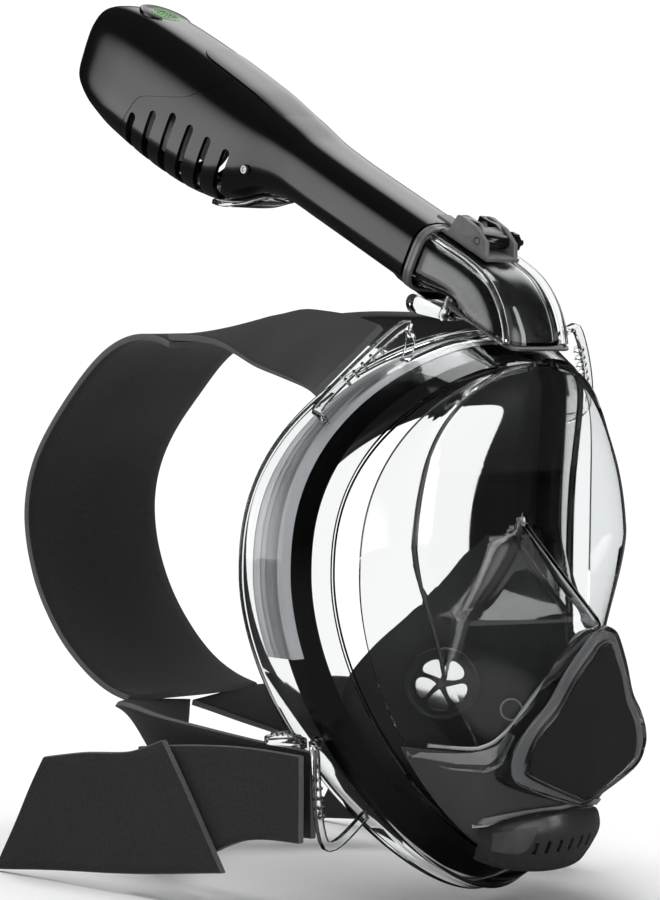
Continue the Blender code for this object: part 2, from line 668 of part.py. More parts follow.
def make_snorkel():
    tube = snorkel_shell("snorkel_tube", BLACK)
    boolean(tube, prism("part_cutter", cap_outline(-GAP), side_place, -40, 40))
    tongue = [(12, -14.6), (12, -17.1), (2, -17.7), (-12, -17.7), (-12, -16.7), (1.6, -16.7), (1.6, -14.6)]
    boolean(tube, prism("tongue", tongue, side_place, -8, 8), "UNION")
    for side in (-1, 1):
        for k in range(SLOT_COUNT):
            s = SLOT_FIRST + SLOT_PITCH * k
            top = SLOT_TOP - SLOT_STEP_DOWN[k]
            outline = [(s - SLOT_WIDTH / 2, top), (s + SLOT_WIDTH / 2, top + 0.8),
                       (s + SLOT_WIDTH / 2 + 2.5, -60), (s - SLOT_WIDTH / 2 + 2.5, -60)]
            low, high = sorted((side * 11.6, side * 34.0))
            boolean(tube, prism("slot_cutter", outline, side_place, low, high))
    cap = snorkel_shell("head_cap", BLACK)
    boolean(cap, prism("cap_cutter", cap_outline(0.0), side_place, -40, 40), "INTERSECT")

    grid = []
    for s in (79, 85, 100, 113, 128, 150, 163, 170, 174):
        half = 13.0 * math.sqrt(max(0.06, 1 - max(0.0, (s - 159.0) / 15.5) ** 2))
        grid.append([tube_point(x * half, s, skin_n(x * half, s, 1) + 1.6 * GAP)
                     for x in (-1, -0.5, 0, 0.5, 1)])
    sheet("front_panel", grid, -0.9, BLACK)
    disc("badge", tube_point(0, BADGE_S, skin_n(0, BADGE_S, 1) + 1.2), FRONT, 13.0, 1.2, GREY, 32)

    grid = []
    for s in (98, 100, 106, 113, 120, 128, 136):
        grid.append([tube_point(x, s, skin_n(x, s, -1) - 2 * GAP) for x in (-10, -5, 0, 5, 10)])
    sheet("float_cover", grid, 2.2, CLEAR)
    for side, word in ((-1, "right"), (1, "left")):
        half_x = along_table(HEAD_TABLE, 107.0)[2]
        disc("cover_pin_" + word, tube_point(side * (half_x + 1.0), 107.0, -11.5), ACROSS, 2.2, 1.2,
             STEEL, 16)

    rings = []
    for s, half_x, inset in ((-1.7, 17.6, 0.0), (-0.2, 17.6, 0.0), (-0.2, 15.6, 2.0), (-1.7, 15.6, 2.0)):
        rings.append(rounded_box_ring(half_x, -14.2 + inset, 13.2 - inset, 4.0, 24,
                                      lambda x, n, s=s: tube_point(x, s, n)))
    loft("tube_seal", rings, SILICONE, closed=True)


def make_dry_top():
    wall = [(150, -3.2), (150, -1.4), (196.4, -1.4), (196.4, -33.0), (194.6, -33.0), (194.6, -3.2)]
    deck = prism("valve_deck", wall, side_place, -17.5, 17.5, GREY)
    hinge_s, hinge_n = FLOAT_HINGE
    for side, word in ((-1, "right"), (1, "left")):
        boolean(deck, disc("port_cutter", tube_point(side * 9.0, 195.5, -21.0), ALONG, 6.2, 8.0, CUTTER))
        x = side * 9.0
        rings = []
        for s, half in ((158, 5.0), (161, 7.0), (184, 7.0), (188, 5.0)):
            middle = -23.5
            rings.append(rounded_box_ring(half, middle - half * 1.25, middle + half * 1.25, 4.0, 16,
                                          lambda u, n, s=s, x=x: tube_point(x + u, s, n)))
        block = loft("float_" + word, rings, WHITE_CLEAR)
        arm = [(182, -20), (186.5, -8), (189.5, -6.2), (191.0, -9), (187, -20)]
        boolean(block, prism("float_arm", arm, side_place, x - 2.0, x + 2.0), "UNION")
        boss = disc("float_boss", tube_point(x, hinge_s, hinge_n), ACROSS, 3.0, 6.0, CUTTER, 16)
        boolean(block, boss, "UNION")
        bore = disc("float_bore", tube_point(x, hinge_s, hinge_n), ACROSS, 1.4, 20.0, CUTTER, 16)
        boolean(block, bore)
        disc("seal_pad_" + word, tube_point(x, 192.6, -22.5), ALONG, 7.6, 2.4, SILICONE)
    disc("float_pin", tube_point(0, hinge_s, hinge_n), ACROSS, 1.1, 36.0, STEEL, 12)


# ---------------------------------------------------------------- harness
def ribbon(name, stations, finish):
    """A flat strap: each station is a centre and a half-width vector."""
    grid = []
    for centre, half in stations:
        middle, reach = Vector(centre), Vector(half)
        grid.append([middle - reach, middle - reach * 0.33, middle + reach * 0.33, middle + reach])
    return sheet(name, grid, STRAP_THICKNESS, finish)


def make_harness():
    centre_y, centre_z = HUB_CENTRE
    stations = []
    for k in range(17):
        angle = math.radians(101 - 182 * k / 16)
        flat = 1.0 - (0.09 if angle > 0 else 0.025) * math.sin(2 * angle) ** 2
        radius = HUB_RADIUS * flat
        point = (0, centre_y + radius * math.cos(angle), centre_z + radius * math.sin(angle))
        stations.append((point, (HUB_HALF_WIDTH, 0, 0)))
    ribbon("strap_panel", stations, NEOPRENE)
    for side, word in ((-1, "right"), (1, "left")):
        def mirrored(path):
            ordered = [((side * c[0], c[1], c[2]), (side * h[0], h[1], h[2])) for c, h in path]
            return ordered if side > 0 else [(c, tuple(-v for v in h)) for c, h in ordered]
        for label, path in (("upper_strap_", UPPER_STRAP), ("lower_strap_", LOWER_STRAP),
                            ("lower_loop_", LOWER_LOOP), ("strap_tail_", STRAP_TAIL)):
            ribbon(label + word, mirrored(path), NEOPRENE)
        clip = [(-6, -57), (16, -57), (16, -53), (6, -50.5), (-6, -53)]
        low, high = sorted((side * 88.5, side * 93.0))
        prism("strap_clip_" + word, clip, lambda y, z, x: Vector((x, y, z)), low, high, CLEAR)


# ---------------------------------------------------------------- assembly
clear_start()
CLEAR = material("clear_polycarbonate", (0.90, 0.93, 0.94), 0.04, transmission=0.9)
WHITE_CLEAR = material("milky_plastic", (0.75, 0.77, 0.78), 0.25)
SMOKE = material("smoked_plastic", (0.06, 0.06, 0.065), 0.12)
BLACK = material("gloss_black_plastic", (0.012, 0.012, 0.013), 0.15)
GREY = material("grey_plastic", (0.10, 0.10, 0.105), 0.35)
SILICONE = material("black_silicone", (0.02, 0.02, 0.022), 0.5)
POCKET = material("charcoal_silicone", (0.045, 0.045, 0.048), 0.45)
SILICONE_CLEAR = material("valve_silicone", (0.55, 0.56, 0.57), 0.4)
NEOPRENE = material("neoprene", (0.035, 0.035, 0.037), 0.9)
STEEL = material("stainless_steel", (0.60, 0.60, 0.62), 0.3, metallic=1.0)
CUTTER = material("guide", (1.0, 0.0, 0.0), 0.5)

make_lens()
make_lens_frame()
make_inner_frame()
make_skirt()
make_pocket()
make_inhale_valves()
make_jaw()
make_shield()
make_bezel()
make_drain()
make_elbow()
make_lever()
make_camera_mount()
make_snorkel()
make_dry_top()
make_harness()
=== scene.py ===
"""Looks of the full face snorkel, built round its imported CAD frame.

Row frame: +Z up, the mask looks along -Y, the wearer's right side is -X, and the origin is the
centre of the face seal opening. Sizes below are millimetres; meshes are made in metres.
"""
import json
import math

import bmesh
import bpy
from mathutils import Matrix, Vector, noise


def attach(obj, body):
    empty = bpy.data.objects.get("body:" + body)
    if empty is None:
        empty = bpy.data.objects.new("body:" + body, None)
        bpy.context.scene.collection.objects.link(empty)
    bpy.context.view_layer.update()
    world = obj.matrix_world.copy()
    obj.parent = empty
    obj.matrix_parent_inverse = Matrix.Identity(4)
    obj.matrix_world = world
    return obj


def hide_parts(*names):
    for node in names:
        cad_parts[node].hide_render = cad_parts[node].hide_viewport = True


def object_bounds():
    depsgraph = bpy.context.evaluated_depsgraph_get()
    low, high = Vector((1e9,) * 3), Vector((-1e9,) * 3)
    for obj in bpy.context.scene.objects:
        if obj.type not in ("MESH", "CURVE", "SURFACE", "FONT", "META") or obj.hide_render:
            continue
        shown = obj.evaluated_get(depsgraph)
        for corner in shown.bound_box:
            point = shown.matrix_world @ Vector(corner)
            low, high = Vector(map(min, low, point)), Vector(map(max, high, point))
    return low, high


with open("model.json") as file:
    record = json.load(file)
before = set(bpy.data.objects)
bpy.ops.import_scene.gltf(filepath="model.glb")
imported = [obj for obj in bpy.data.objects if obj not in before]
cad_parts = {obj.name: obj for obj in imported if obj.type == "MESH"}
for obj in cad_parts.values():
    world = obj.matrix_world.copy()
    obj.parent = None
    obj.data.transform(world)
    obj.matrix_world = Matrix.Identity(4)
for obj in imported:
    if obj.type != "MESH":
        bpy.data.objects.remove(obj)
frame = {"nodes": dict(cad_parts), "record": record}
cad_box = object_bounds()

MM = 0.001
SIDES = ((-1, "right"), (1, "left"))

# ---- mask (mm)
RIM_HALF_WIDTH = 90.0
RIM_CENTRE_Z = 15.0             # level where the rim is widest
RIM_RISE = 104.0
RIM_DROP = 139.0
RIM_TOP_POWER = 2.35
RIM_CHIN_POWER = 1.85
RIM_SIDE_Y = 8.0
RIM_BOW = 47.0
RIM_BOW_TILT = 0.027
RIM_STEPS = 176                 # sections round the rim
BEVEL_DEPTH = 18.0              # clear bevel from the rim's corner to the lens
LENS_INSET = 14.5
LENS_THICKNESS = 2.0
JAW_THICKNESS = 2.2
FRONT_STEP = 2.6                # between the level rows of the lens and jaw grids
PANEL_Y = -50.0                 # flat front of the lens
CREASE_HALF_WIDTH = 69.5
CHEEK_HALF_WIDTH = 50.0
BRIDGE_Z = 37.0                 # where the nose ridge leaves the flat panel
NOSE_Y = -92.0
NOSE_Z = -4.0
JAW_TURN_Z = -62.0              # below this the jaw falls back to the chin
RIDGE_RADIUS = 2.2              # rounding of the nose ridge
DRAIN_CENTRE = (0.0, -60.0, -98.0)
DRAIN_AXIS = (0.0, -0.93, -0.37)
VALVE_CENTRE = (40.5, -38.6, -31.0)     # of the left inhale valve
VALVE_AXIS = (0.78, -0.62, 0.0)
PLUG_CENTRE = (24.0, -63.5, -41.0)      # of the left cheek plug
# the edge between lens and jaw: (x, z), from the middle out
BORDER_HALF = (
    (0, -7), (5, -10), (10, -20), (20, -34), (30, -46), (38, -52), (46, -55.3), (58, -56),
    (95, -52))

# ---- snorkel (mm), in its own axes: s up the tube, n to its front
TUBE_ANGLE = math.radians(28.0)
TUBE_FOOT = Vector((0.0, 2.7, 154.2))
ALONG = Vector((0.0, math.cos(TUBE_ANGLE), math.sin(TUBE_ANGLE)))
FRONT = Vector((0.0, -math.sin(TUBE_ANGLE), math.cos(TUBE_ANGLE)))
ACROSS = Vector((1.0, 0.0, 0.0))

SLOT_COUNT = 6
SLOT_PITCH = 13.3
SLOT_WIDTH = 4.8
SLOT_FIRST = 121.3
SLOT_TOP = -10.5
SLOT_STEP_DOWN = (0.0, 0.0, 0.0, 0.0, 5.0, 12.0)    # the last slots start lower
BADGE_S = 214.0
STUD_S = 107.0                  # of the rear window's pins
CORNER_POWER = 3.6              # of the superellipse that the snorkel's sections follow
SKIN_STATIONS = [0.4 + 3.1 * k for k in range(76)]
SKIN_STATIONS += [237.5, 239.2, 240.8, 242.3, 243.6, 244.7, 245.5]
BORE_STATIONS = (
    12.0, 40.0, 62.0, 76.0, 88.0, 98.0, 106.0, 113.0, 120.0, 128.0, 138.0, 150.0, 165.0, 180.0,
    195.0, 210.0, 220.0, 228.0, 234.0, 239.0)
# s: (front, back, half width) of the snorkel's outer skin
HEAD_TABLE = [
    (0, 14.3, -15.8, 18.2), (62, 14.3, -15.8, 18.2), (85, 15.0, -16.2, 18.8),
    (100, 16.8, -21.0, 20.5), (113, 18.2, -30.0, 22.3), (128, 19.5, -37.0, 23.6),
    (150, 20.6, -40.5, 24.2), (180, 21.6, -41.0, 24.5), (210, 21.2, -38.8, 24.2),
    (228, 19.0, -35.0, 23.0), (239, 14.5, -30.0, 20.5), (245.5, 7.0, -21.0, 15.0)]

# ---- harness (mm)
STRAP_THICKNESS = 3.0
HUB_CENTRE = (152.0, 31.0)      # (y, z) of the back panel's arc
HUB_RADIUS = 88.0
HUB_HALF_WIDTH = 42.0
# centre and half-width vector of each strap, for the wearer's left side
UPPER_STRAP = [
    ((21, 134.5, 116.2), (20, 0, 0)), ((29, 96, 118.5), (18.5, 0, -5)),
    ((42, 56, 115), (16.5, 0, -12)), ((55, 16, 110), (14.5, 0, -15)),
    ((67, -10, 105.5), (14, 6, -14.5))]
LOWER_STRAP = [
    ((21, 165, -59), (20, 0, 2)), ((43, 146, -64), (18, 4, 9)), ((66, 122, -70), (9, 4, 18)),
    ((80, 86, -75), (2, 2, 21)), ((84, 40, -77), (0, 0, 20)), ((83.5, -3, -78), (0, 0, 18.5))]
LOWER_LOOP = [
    ((93, -8, -78), (0, 0, 18.5)), ((93.5, 24, -79), (0, 0, 20)), ((93.5, 60, -87), (0, -2, 26)),
    ((93.5, 96, -92), (0, -3, 27))]
STRAP_TAIL = [
    ((97.5, 54, -87), (0, 19, 27)), ((98.5, 92, -94), (0, 3, 27)),
    ((100.5, 134, -98), (0, -10, 28)), ((103, 166, -102), (0, -18, 28))]

# ---- pocket and front plate: level, then half width at the face, y there, y of the ridge, fullness
POCKET_TABLE = [
    (-86, 27, -21, -42, 2), (-79, 39, -16, -56, 5), (-70, 49, -10, -66, 7),
    (-60, 56, -5.5, -73, 6), (-46, 62, -1.5, -78, 2), (-31, 61, -2, -79, 0), (-16, 50, -8, -78, 0),
    (0, 34, -17, -74, 0), (12, 22, -22, -62, 0), (22, 14, -26, -52, 0), (31, 7, -33, -44, 0)]
# (level, half width) of the front plate and (half width, level) of its surround
SHIELD_HALF = [
    (-13, 3), (-16, 5.5), (-27, 14), (-40, 21.5), (-49, 30), (-57, 34), (-63, 34.5), (-67, 31),
    (-79, 3)]
BEZEL_HALF = [
    (0, -5), (6, -7), (11, -11), (20, -23), (28, -36), (37, -45), (43.5, -54), (45, -62),
    (38, -71), (6, -81.5), (0, -82.5)]
# (front y, z), (back y, z), half width of each section of the air elbow, from the tube down
ELBOW = [
    ((-5.3, 165.2), (7.8, 140.5), 18.0), ((-19.5, 157.7), (1.0, 138.2), 18.2),
    ((-33.7, 150.2), (-7.0, 136.4), 18.6), ((-45.0, 142.0), (-13.0, 135.2), 19.0),
    ((-52.5, 131.5), (-17.5, 134.0), 19.4), ((-56.3, 121.0), (-20.5, 132.9), 19.8),
    ((-57.5, 112.8), (-22.0, 131.8), 20.0)]
# (s, n) of the release lever's pivot and grip and of the camera mount's screw
LEVER_PIVOT = (-24.0, -19.0)
LEVER_GRIP = (-3.0, -23.6)
MOUNT_PIVOT = (-28.0, 19.4)
# four points along each strap lug on the left side
UPPER_LUG = [(74.6, -2.3, 80.1), (86, -12, 88), (55, -31, 121), (47.0, -23.6, 106.6)]
LOWER_LUG = [(72.6, 0.3, -57.7), (88, -9, -58), (84, -11, -98), (55.2, -7.7, -87.9)]
LUG_HEART = Vector((0, 0, 15))  # the lugs' flat sides face this point

# ---- profiles that turn round an axis: (radius, distance along it)
AXIS_GAP = 0.01                 # a profile stops this far short of its axis
VALVE_SEAT = [
    (15.7, -1.4), (15.7, 1.1), (15.2, 1.6), (14.4, 1.6), (13.9, 1.0), (12.6, 1.0), (12.2, 1.4),
    (11.7, 1.4), (11.4, 1.0), (11.4, -1.4)]
VALVE_BUTTON = [(AXIS_GAP, -1.2), (1.7, -1.2), (1.7, 1.3), (1.2, 1.9), (AXIS_GAP, 2.1)]
CHEEK_PLUG = [
    (AXIS_GAP, -2.4), (4.5, -2.4), (4.5, 1.4), (4.1, 2.2), (3.4, 2.4), (3.0, 1.8), (1.6, 1.8),
    (1.3, 2.3), (AXIS_GAP, 2.4)]
DRAIN_SEAT = [
    (13.4, -1.5), (13.6, -1.2), (13.6, 1.2), (13.4, 1.5), (10.6, 1.5), (10.4, 1.2), (10.4, -1.5)]
BOSS_PROFILE = [
    (AXIS_GAP, -2.2), (13.0, -2.2), (13.0, 0.1), (12.7, 0.3), (12.2, 0.05), (11.8, 0.05),
    (11.4, 0.3), (AXIS_GAP, 0.3)]
STUD_PROFILE = [
    (AXIS_GAP, 0.4), (2.2, 0.4), (2.2, 1.1), (1.8, 1.6), (1.2, 1.6), (0.9, 1.2), (AXIS_GAP, 1.1)]
KNOB_PROFILE = [
    (AXIS_GAP, -10.3), (1.2, -10.3), (1.4, -10.1), (1.4, 11.0), (3.9, 11.0), (4.4, 11.5),
    (4.4, 13.7), (3.9, 14.2), (1.4, 14.2), (1.4, 18.7), (1.0, 19.1), (AXIS_GAP, 19.1)]

# ---- rings round the face: (inset from the rim, shift along Y) and, where it is more than
# nought, the share of the side wall's depth
FRAME_PROFILE = [
    (11.5, -18.0), (6.0, -9.3), (1.2, -1.8), (0.3, -0.6), (0.0, 0.4), (-0.1, 4.0),
    (-0.4, 0.0, 0.5), (-1.0, -2.0, 1.0), (-1.7, -0.8, 1.0), (-1.7, 0.0, 1.0), (-1.2, 0.6, 1.0),
    (1.6, 0.6, 1.0), (2.0, 0.0, 1.0), (2.4, 0.0, 0.5), (3.0, 2.2), (3.5, 1.0), (13.8, -15.6),
    (13.4, -16.6)]
CARRIER_PROFILE = [
    (10.2, -7.6), (9.8, -6.8), (8.0, -3.2), (5.2, 1.2), (4.5, 2.4), (4.2, 3.4), (4.2, 7.4),
    (5.0, 8.0), (8.4, 8.0), (9.2, 7.2), (10.8, -3.0), (10.9, -6.6), (10.7, -7.4)]
# the thin near-white ring on the seal carrier's front edge, which paints the edge's highlight
CARRIER_EDGE = [
    (3.95, 5.6), (3.95, 3.3), (4.25, 2.25), (5.0, 1.0), (5.5, 0.2), (5.9, 0.9), (5.2, 1.9),
    (4.8, 2.9), (4.6, 3.6), (4.6, 5.6)]
SKIRT_FRONT = [
    (6.5, 8.6), (7.0, 10.0), (9.5, 9.6, 0.08), (14.0, 6.0, 0.36), (19.0, 2.2, 0.62),
    (23.0, -0.4, 0.83), (25.5, 0.6, 0.9), (28.5, 3.2, 0.97), (30.8, 4.2, 1.0), (31.6, 3.9, 1.0)]
SKIRT_BACK = [
    (31.9, 3.2, 1.0), (31.2, 2.5, 1.0), (28.5, 1.0, 0.97), (25.8, -1.6, 0.9), (23.8, -2.4, 0.83),
    (19.8, 0.2, 0.62), (15.6, 4.0, 0.36), (13.0, 7.0, 0.08), (12.4, 8.6)]

# ---- outlines on the snorkel's side, (s, n), and on the mask's side, (y, z)
CAP_CORNERS = [(141, 34), (141, 17), (157, 2), (188.5, -11.5), (196, -32), (199, -52)]
LATCH_OUTLINE = [
    (12, -14.6), (12, -16.6), (9, -17.4), (2, -17.7), (-10, -17.7), (-12, -17.4), (-12, -16.7),
    (1.0, -16.7), (1.6, -14.6)]
LEVER_EAR = [
    (-26.6, -8.0), (-26.6, -19.6), (-25.9, -21.2), (-24.0, -21.8), (-22.1, -21.2), (-21.4, -19.6),
    (-21.4, -8.0)]
CLIP_OUTLINE = [
    (-6, -57), (16, -57), (16, -53.6), (15.2, -53), (6, -50.5), (5, -50.4), (-5.4, -52.6),
    (-6, -53.2)]

# ---- crowns: share across a strip or a surround, and its lift there
TRIM_CROWN = ((0.0, -0.15), (0.12, 0.0), (0.5, 0.1), (0.88, 0.0), (1.0, -0.15))
BEZEL_CROWN = (
    (0.0, 0.5), (0.03, 0.0), (0.12, -0.5), (0.3, 0.5), (0.6, 0.8), (0.86, -0.2), (0.96, 0.0),
    (1.0, 0.6))
SHIELD_SHARES = (
    -1, -0.985, -0.95, -0.8, -0.55, -0.3, -0.15, 0, 0.15, 0.3, 0.55, 0.8, 0.95, 0.985, 1)


# ---------------------------------------------------------------- materials
def add_node(tree, kind, inputs=(), **settings):
    """A shader node; each input is given a value or the output that feeds it."""
    node = tree.nodes.new("ShaderNode" + kind)
    for name, value in settings.items():
        setattr(node, name, value)
    for socket, value in dict(inputs).items():
        if isinstance(value, bpy.types.NodeSocket):
            tree.links.new(value, node.inputs[socket])
        else:
            node.inputs[socket].default_value = value
    return node


def noise_of(tree, scale, detail, stretch=(1.0, 1.0, 1.0)):
    """Noise in the row frame; scale is features per metre."""
    place = add_node(tree, "TexCoord")
    squeeze = add_node(tree, "Mapping", {"Scale": stretch, "Vector": place.outputs["Object"]})
    return add_node(tree, "TexNoise", {"Scale": scale, "Detail": detail,
                                       "Vector": squeeze.outputs["Vector"]}).outputs["Fac"]


def wander(tree, scale, low, high, stretch=(1.0, 1.0, 1.0)):
    """Let the roughness drift between two values."""
    noise_level = noise_of(tree, scale, 3.0, stretch)
    return add_node(tree, "MapRange", {"From Min": 0.3, "From Max": 0.7, "To Min": low,
                                       "To Max": high, "Value": noise_level}).outputs["Result"]


def mottle(tree, scale, dark, light, stretch=(1.0, 1.0, 1.0)):
    """Let the base colour drift between two colours."""
    ramp = add_node(tree, "ValToRGB", {"Fac": noise_of(tree, scale, 5.0, stretch)})
    for stop, position, colour in zip(ramp.color_ramp.elements, (0.35, 0.65), (dark, light)):
        stop.position = position
        stop.color = (*colour, 1.0)
    return ramp.outputs["Color"]


def grain(tree, scale, depth, strength=1.0):
    """Fine bump: depth is in millimetres."""
    bump = add_node(tree, "Bump", {"Strength": strength, "Distance": depth * MM,
                                   "Height": noise_of(tree, scale, 4.0)})
    return bump.outputs["Normal"]


def make_finish(name, colour, roughness, rough=None, tint=None, bump=None, **sockets):
    """A Principled material; rough, tint and bump hold the numbers of wander, mottle and grain,
    and the other sockets are named with underscores for spaces."""
    made = bpy.data.materials.new(name)
    made.use_nodes = True
    tree = made.node_tree
    shader = tree.nodes["Principled BSDF"]
    shader.inputs["Base Color"].default_value = (*colour, 1.0)
    shader.inputs["Roughness"].default_value = roughness
    for socket, value in sockets.items():
        shader.inputs[socket.replace("_", " ")].default_value = value
    for change, numbers, socket in ((wander, rough, "Roughness"), (mottle, tint, "Base Color"),
                                    (grain, bump, "Normal")):
        if numbers:
            tree.links.new(change(tree, *numbers), shader.inputs[socket])
    made.diffuse_color = (*colour, 1.0)
    return made


def grey(level):
    """A very slightly cool grey."""
    return (level, level, level * 1.03)


def make_clear(name, colour, roughness, share, index, rough=None, bump=None):
    """A finish that lets a share of the light through."""
    return make_finish(name, colour, roughness, rough, None, bump,
                       Transmission_Weight=share, IOR=index)


def make_band(number, level, share):
    """A pale band behind the frame's clear wall that paints the wall's highlight and grey shading.
    """
    return make_clear(f"painted_highlight_band_{number}", grey(level), 0.35, share, 1.45,
                        (60.0, 0.28, 0.42), (900.0, 0.01))


FINISH = dict(
    clear=make_clear("clear_polycarbonate", (0.95, 0.965, 0.97), 0.03, 1.0, 1.49,
                     (60.0, 0.015, 0.05)),
    # whitish strip finish: a painted highlight line on the jaw
    frosted=make_clear("painted_highlight_frost", (0.90, 0.92, 0.93), 0.18, 0.9, 1.49, (90.0, 0.12, 0.25)),
    smoke=make_clear("smoked_polycarbonate", (0.09, 0.09, 0.09), 0.1, 0.4, 1.49,
                     (70.0, 0.06, 0.14)),
    # grey translucent finish: painted shade along the lens folds; the cheek plugs use it too
    crease=make_clear("lens_crease", grey(0.10), 0.1, 0.45, 1.49, (80.0, 0.06, 0.2)),
    milky=make_clear("milky_plastic", (0.70, 0.72, 0.73), 0.3, 0.35, 1.45, bump=(2000.0, 0.004)),
    valve=make_clear("valve_silicone", (0.95, 0.95, 0.95), 0.12, 0.95, 1.2, (120.0, 0.08, 0.18)),
    # pale bands, grey to near white: painted highlight and shading of the frame's clear wall
    band_1=make_band(1, 0.6, 0.4),
    band_2=make_band(2, 0.8, 0.5),
    band_3=make_band(3, 0.95, 0.65),
    # near-white band: the painted highlight along the seal carrier's front edge
    edge=make_band(4, 0.95, 0.0),
    lip=make_finish("jaw_band_grey", grey(0.22), 0.35, (60.0, 0.28, 0.42), bump=(1500.0, 0.004)),
    bed=make_finish("surround_bed", grey(0.26), 0.45, (50.0, 0.38, 0.5), bump=(1500.0, 0.004)),
    black=make_finish("gloss_black_plastic", (0.003, 0.003, 0.003), 0.16, (35.0, 0.14, 0.2),
                      bump=(2600.0, 0.0015), Coat_Weight=0.5, Coat_Roughness=0.06),
    shield=make_finish("front_plate_black", (0.014, 0.014, 0.015), 0.3, (30.0, 0.26, 0.36),
                       bump=(1200.0, 0.01)),
    grey=make_finish("grey_plastic", grey(0.06), 0.42, tint=(120.0, grey(0.05), grey(0.075)),
                     bump=(1800.0, 0.03)),
    drain=make_finish("drain_cover_grey", grey(0.03), 0.25, (60.0, 0.2, 0.34),
                      bump=(1500.0, 0.012), Coat_Weight=0.4, Coat_Roughness=0.1),
    collar=make_finish("collar_grey", grey(0.14), 0.22, (60.0, 0.18, 0.3), Coat_Weight=0.6,
                       Coat_Roughness=0.08),
    liner=make_finish("smoked_duct", grey(0.02), 0.25, (40.0, 0.24, 0.38), Coat_Weight=0.6,
                      Coat_Roughness=0.12),
    mount=make_finish("mount_grey", grey(0.16), 0.45, tint=(140.0, grey(0.14), grey(0.18)),
                      bump=(1800.0, 0.02)),
    green=make_finish("badge_green", (0.28, 0.55, 0.24), 0.4, bump=(1500.0, 0.02)),
    silicone=make_finish("black_silicone", (0.016, 0.016, 0.018), 0.34, (50.0, 0.28, 0.42),
                         bump=(3200.0, 0.003), Sheen_Weight=0.15),
    pocket=make_finish("charcoal_silicone", (0.04, 0.04, 0.042), 0.42,
                       tint=(60.0, grey(0.032), grey(0.046)), bump=(3200.0, 0.004),
                       Sheen_Weight=0.2, Coat_Weight=0.5, Coat_Roughness=0.3),
    neoprene=make_finish("neoprene_jersey", (0.020, 0.020, 0.021), 0.92,
                         tint=(1500.0, grey(0.014), grey(0.026), (1.0, 1.0, 0.6)),
                         bump=(2600.0, 0.10, 0.9), Sheen_Weight=0.12, Sheen_Roughness=0.5),
    foam=make_finish("neoprene_cut_edge", grey(0.12), 0.95,
                     tint=(2400.0, grey(0.085), grey(0.15)), bump=(3000.0, 0.15)),
    steel=make_finish("stainless_steel", (0.62, 0.62, 0.63), 0.28,
                      (150.0, 0.22, 0.38, (1.0, 1.0, 8.0)), Metallic=1.0))


# ---------------------------------------------------------------- mesh helpers
def finish_piece(made, body, replaced=(), sharp=35.0):
    """Shade a new piece, tie it to a body and hide the CAD nodes it replaces."""
    made.data.shade_smooth()
    made.data.set_sharp_from_angle(angle=math.radians(sharp))
    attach(made, body)
    if replaced:
        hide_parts(*replaced)
    return made


def mesh_object(name, points, faces, finish):
    """One object from points in millimetres, its faces turned outward."""
    mesh = bpy.data.meshes.new(name)
    mesh.from_pydata([Vector(p) * MM for p in points], [], faces)
    work = bmesh.new()
    work.from_mesh(mesh)
    bmesh.ops.recalc_face_normals(work, faces=work.faces)
    work.to_mesh(mesh)
    work.free()
    made = bpy.data.objects.new(name, mesh)
    made.data.materials.append(FINISH[finish])
    bpy.context.scene.collection.objects.link(made)
    return made


def loft(name, rings, finish, closed=False):
    """Skin a list of closed rings; an open loft gets flat ends."""
    size = len(rings[0])
    points = [p for ring in rings for p in ring]
    faces = []
    for row in range(len(rings) if closed else len(rings) - 1):
        here = row * size
        there = (row + 1) % len(rings) * size
        for k in range(size):
            after = (k + 1) % size
            faces.append((here + k, here + after, there + after, there + k))
    if not closed:
        faces.append(tuple(range(size)))
        faces.append(tuple(range(len(points) - size, len(points))))
    return mesh_object(name, points, faces, finish)


def sheet(name, grid, thickness, finish, bevel=0.0):
    """Thicken an open grid of points to the side its rows x columns normal points from."""
    rows, columns = len(grid), len(grid[0])
    outer = [Vector(p) for row in grid for p in row]
    inner = []
    for i in range(rows):
        for j in range(columns):
            down = Vector(grid[min(i + 1, rows - 1)][j]) - Vector(grid[max(i - 1, 0)][j])
            right = Vector(grid[i][min(j + 1, columns - 1)]) - Vector(grid[i][max(j - 1, 0)])
            inner.append(Vector(grid[i][j]) + down.cross(right).normalized() * thickness)
    shift = rows * columns
    faces = []
    for i in range(rows - 1):
        for j in range(columns - 1):
            a = i * columns + j
            quad = (a, a + 1, a + columns + 1, a + columns)
            faces.append(quad)
            faces.append(tuple(k + shift for k in reversed(quad)))
    edge = list(range(columns))
    edge += [i * columns + columns - 1 for i in range(1, rows)]
    edge += [(rows - 1) * columns + j for j in range(columns - 2, -1, -1)]
    edge += [i * columns for i in range(rows - 2, 0, -1)]
    for k, a in enumerate(edge):
        b = edge[(k + 1) % len(edge)]
        faces.append((b, a, a + shift, b + shift))
    made = mesh_object(name, outer + inner, faces, finish)
    return rounded(made, bevel) if bevel else made


def apply_modifiers(made):
    """Replace an object's mesh by what its modifiers make of it."""
    view = bpy.context.evaluated_depsgraph_get()
    result = bpy.data.meshes.new_from_object(made.evaluated_get(view))
    result.name = made.name
    made.modifiers.clear()
    made.data = result
    return made


def rounded(made, width, segments=2, limit=40.0):
    """Round every sharp edge by a width in millimetres."""
    bevel = made.modifiers.new("Bevel", "BEVEL")
    bevel.width = width * MM
    bevel.segments = segments
    bevel.limit_method = "ANGLE"
    bevel.angle_limit = math.radians(limit)
    bevel.harden_normals = True
    return apply_modifiers(made)


def cut(target, *tools, operation="DIFFERENCE"):
    """Boolean the tools into the target for good and remove them."""
    for tool in tools:
        change = target.modifiers.new("Cut", "BOOLEAN")
        change.operation = operation
        change.solver = "MANIFOLD"
        change.object = tool
    apply_modifiers(target)
    for tool in tools:
        bpy.data.objects.remove(tool)
    return target


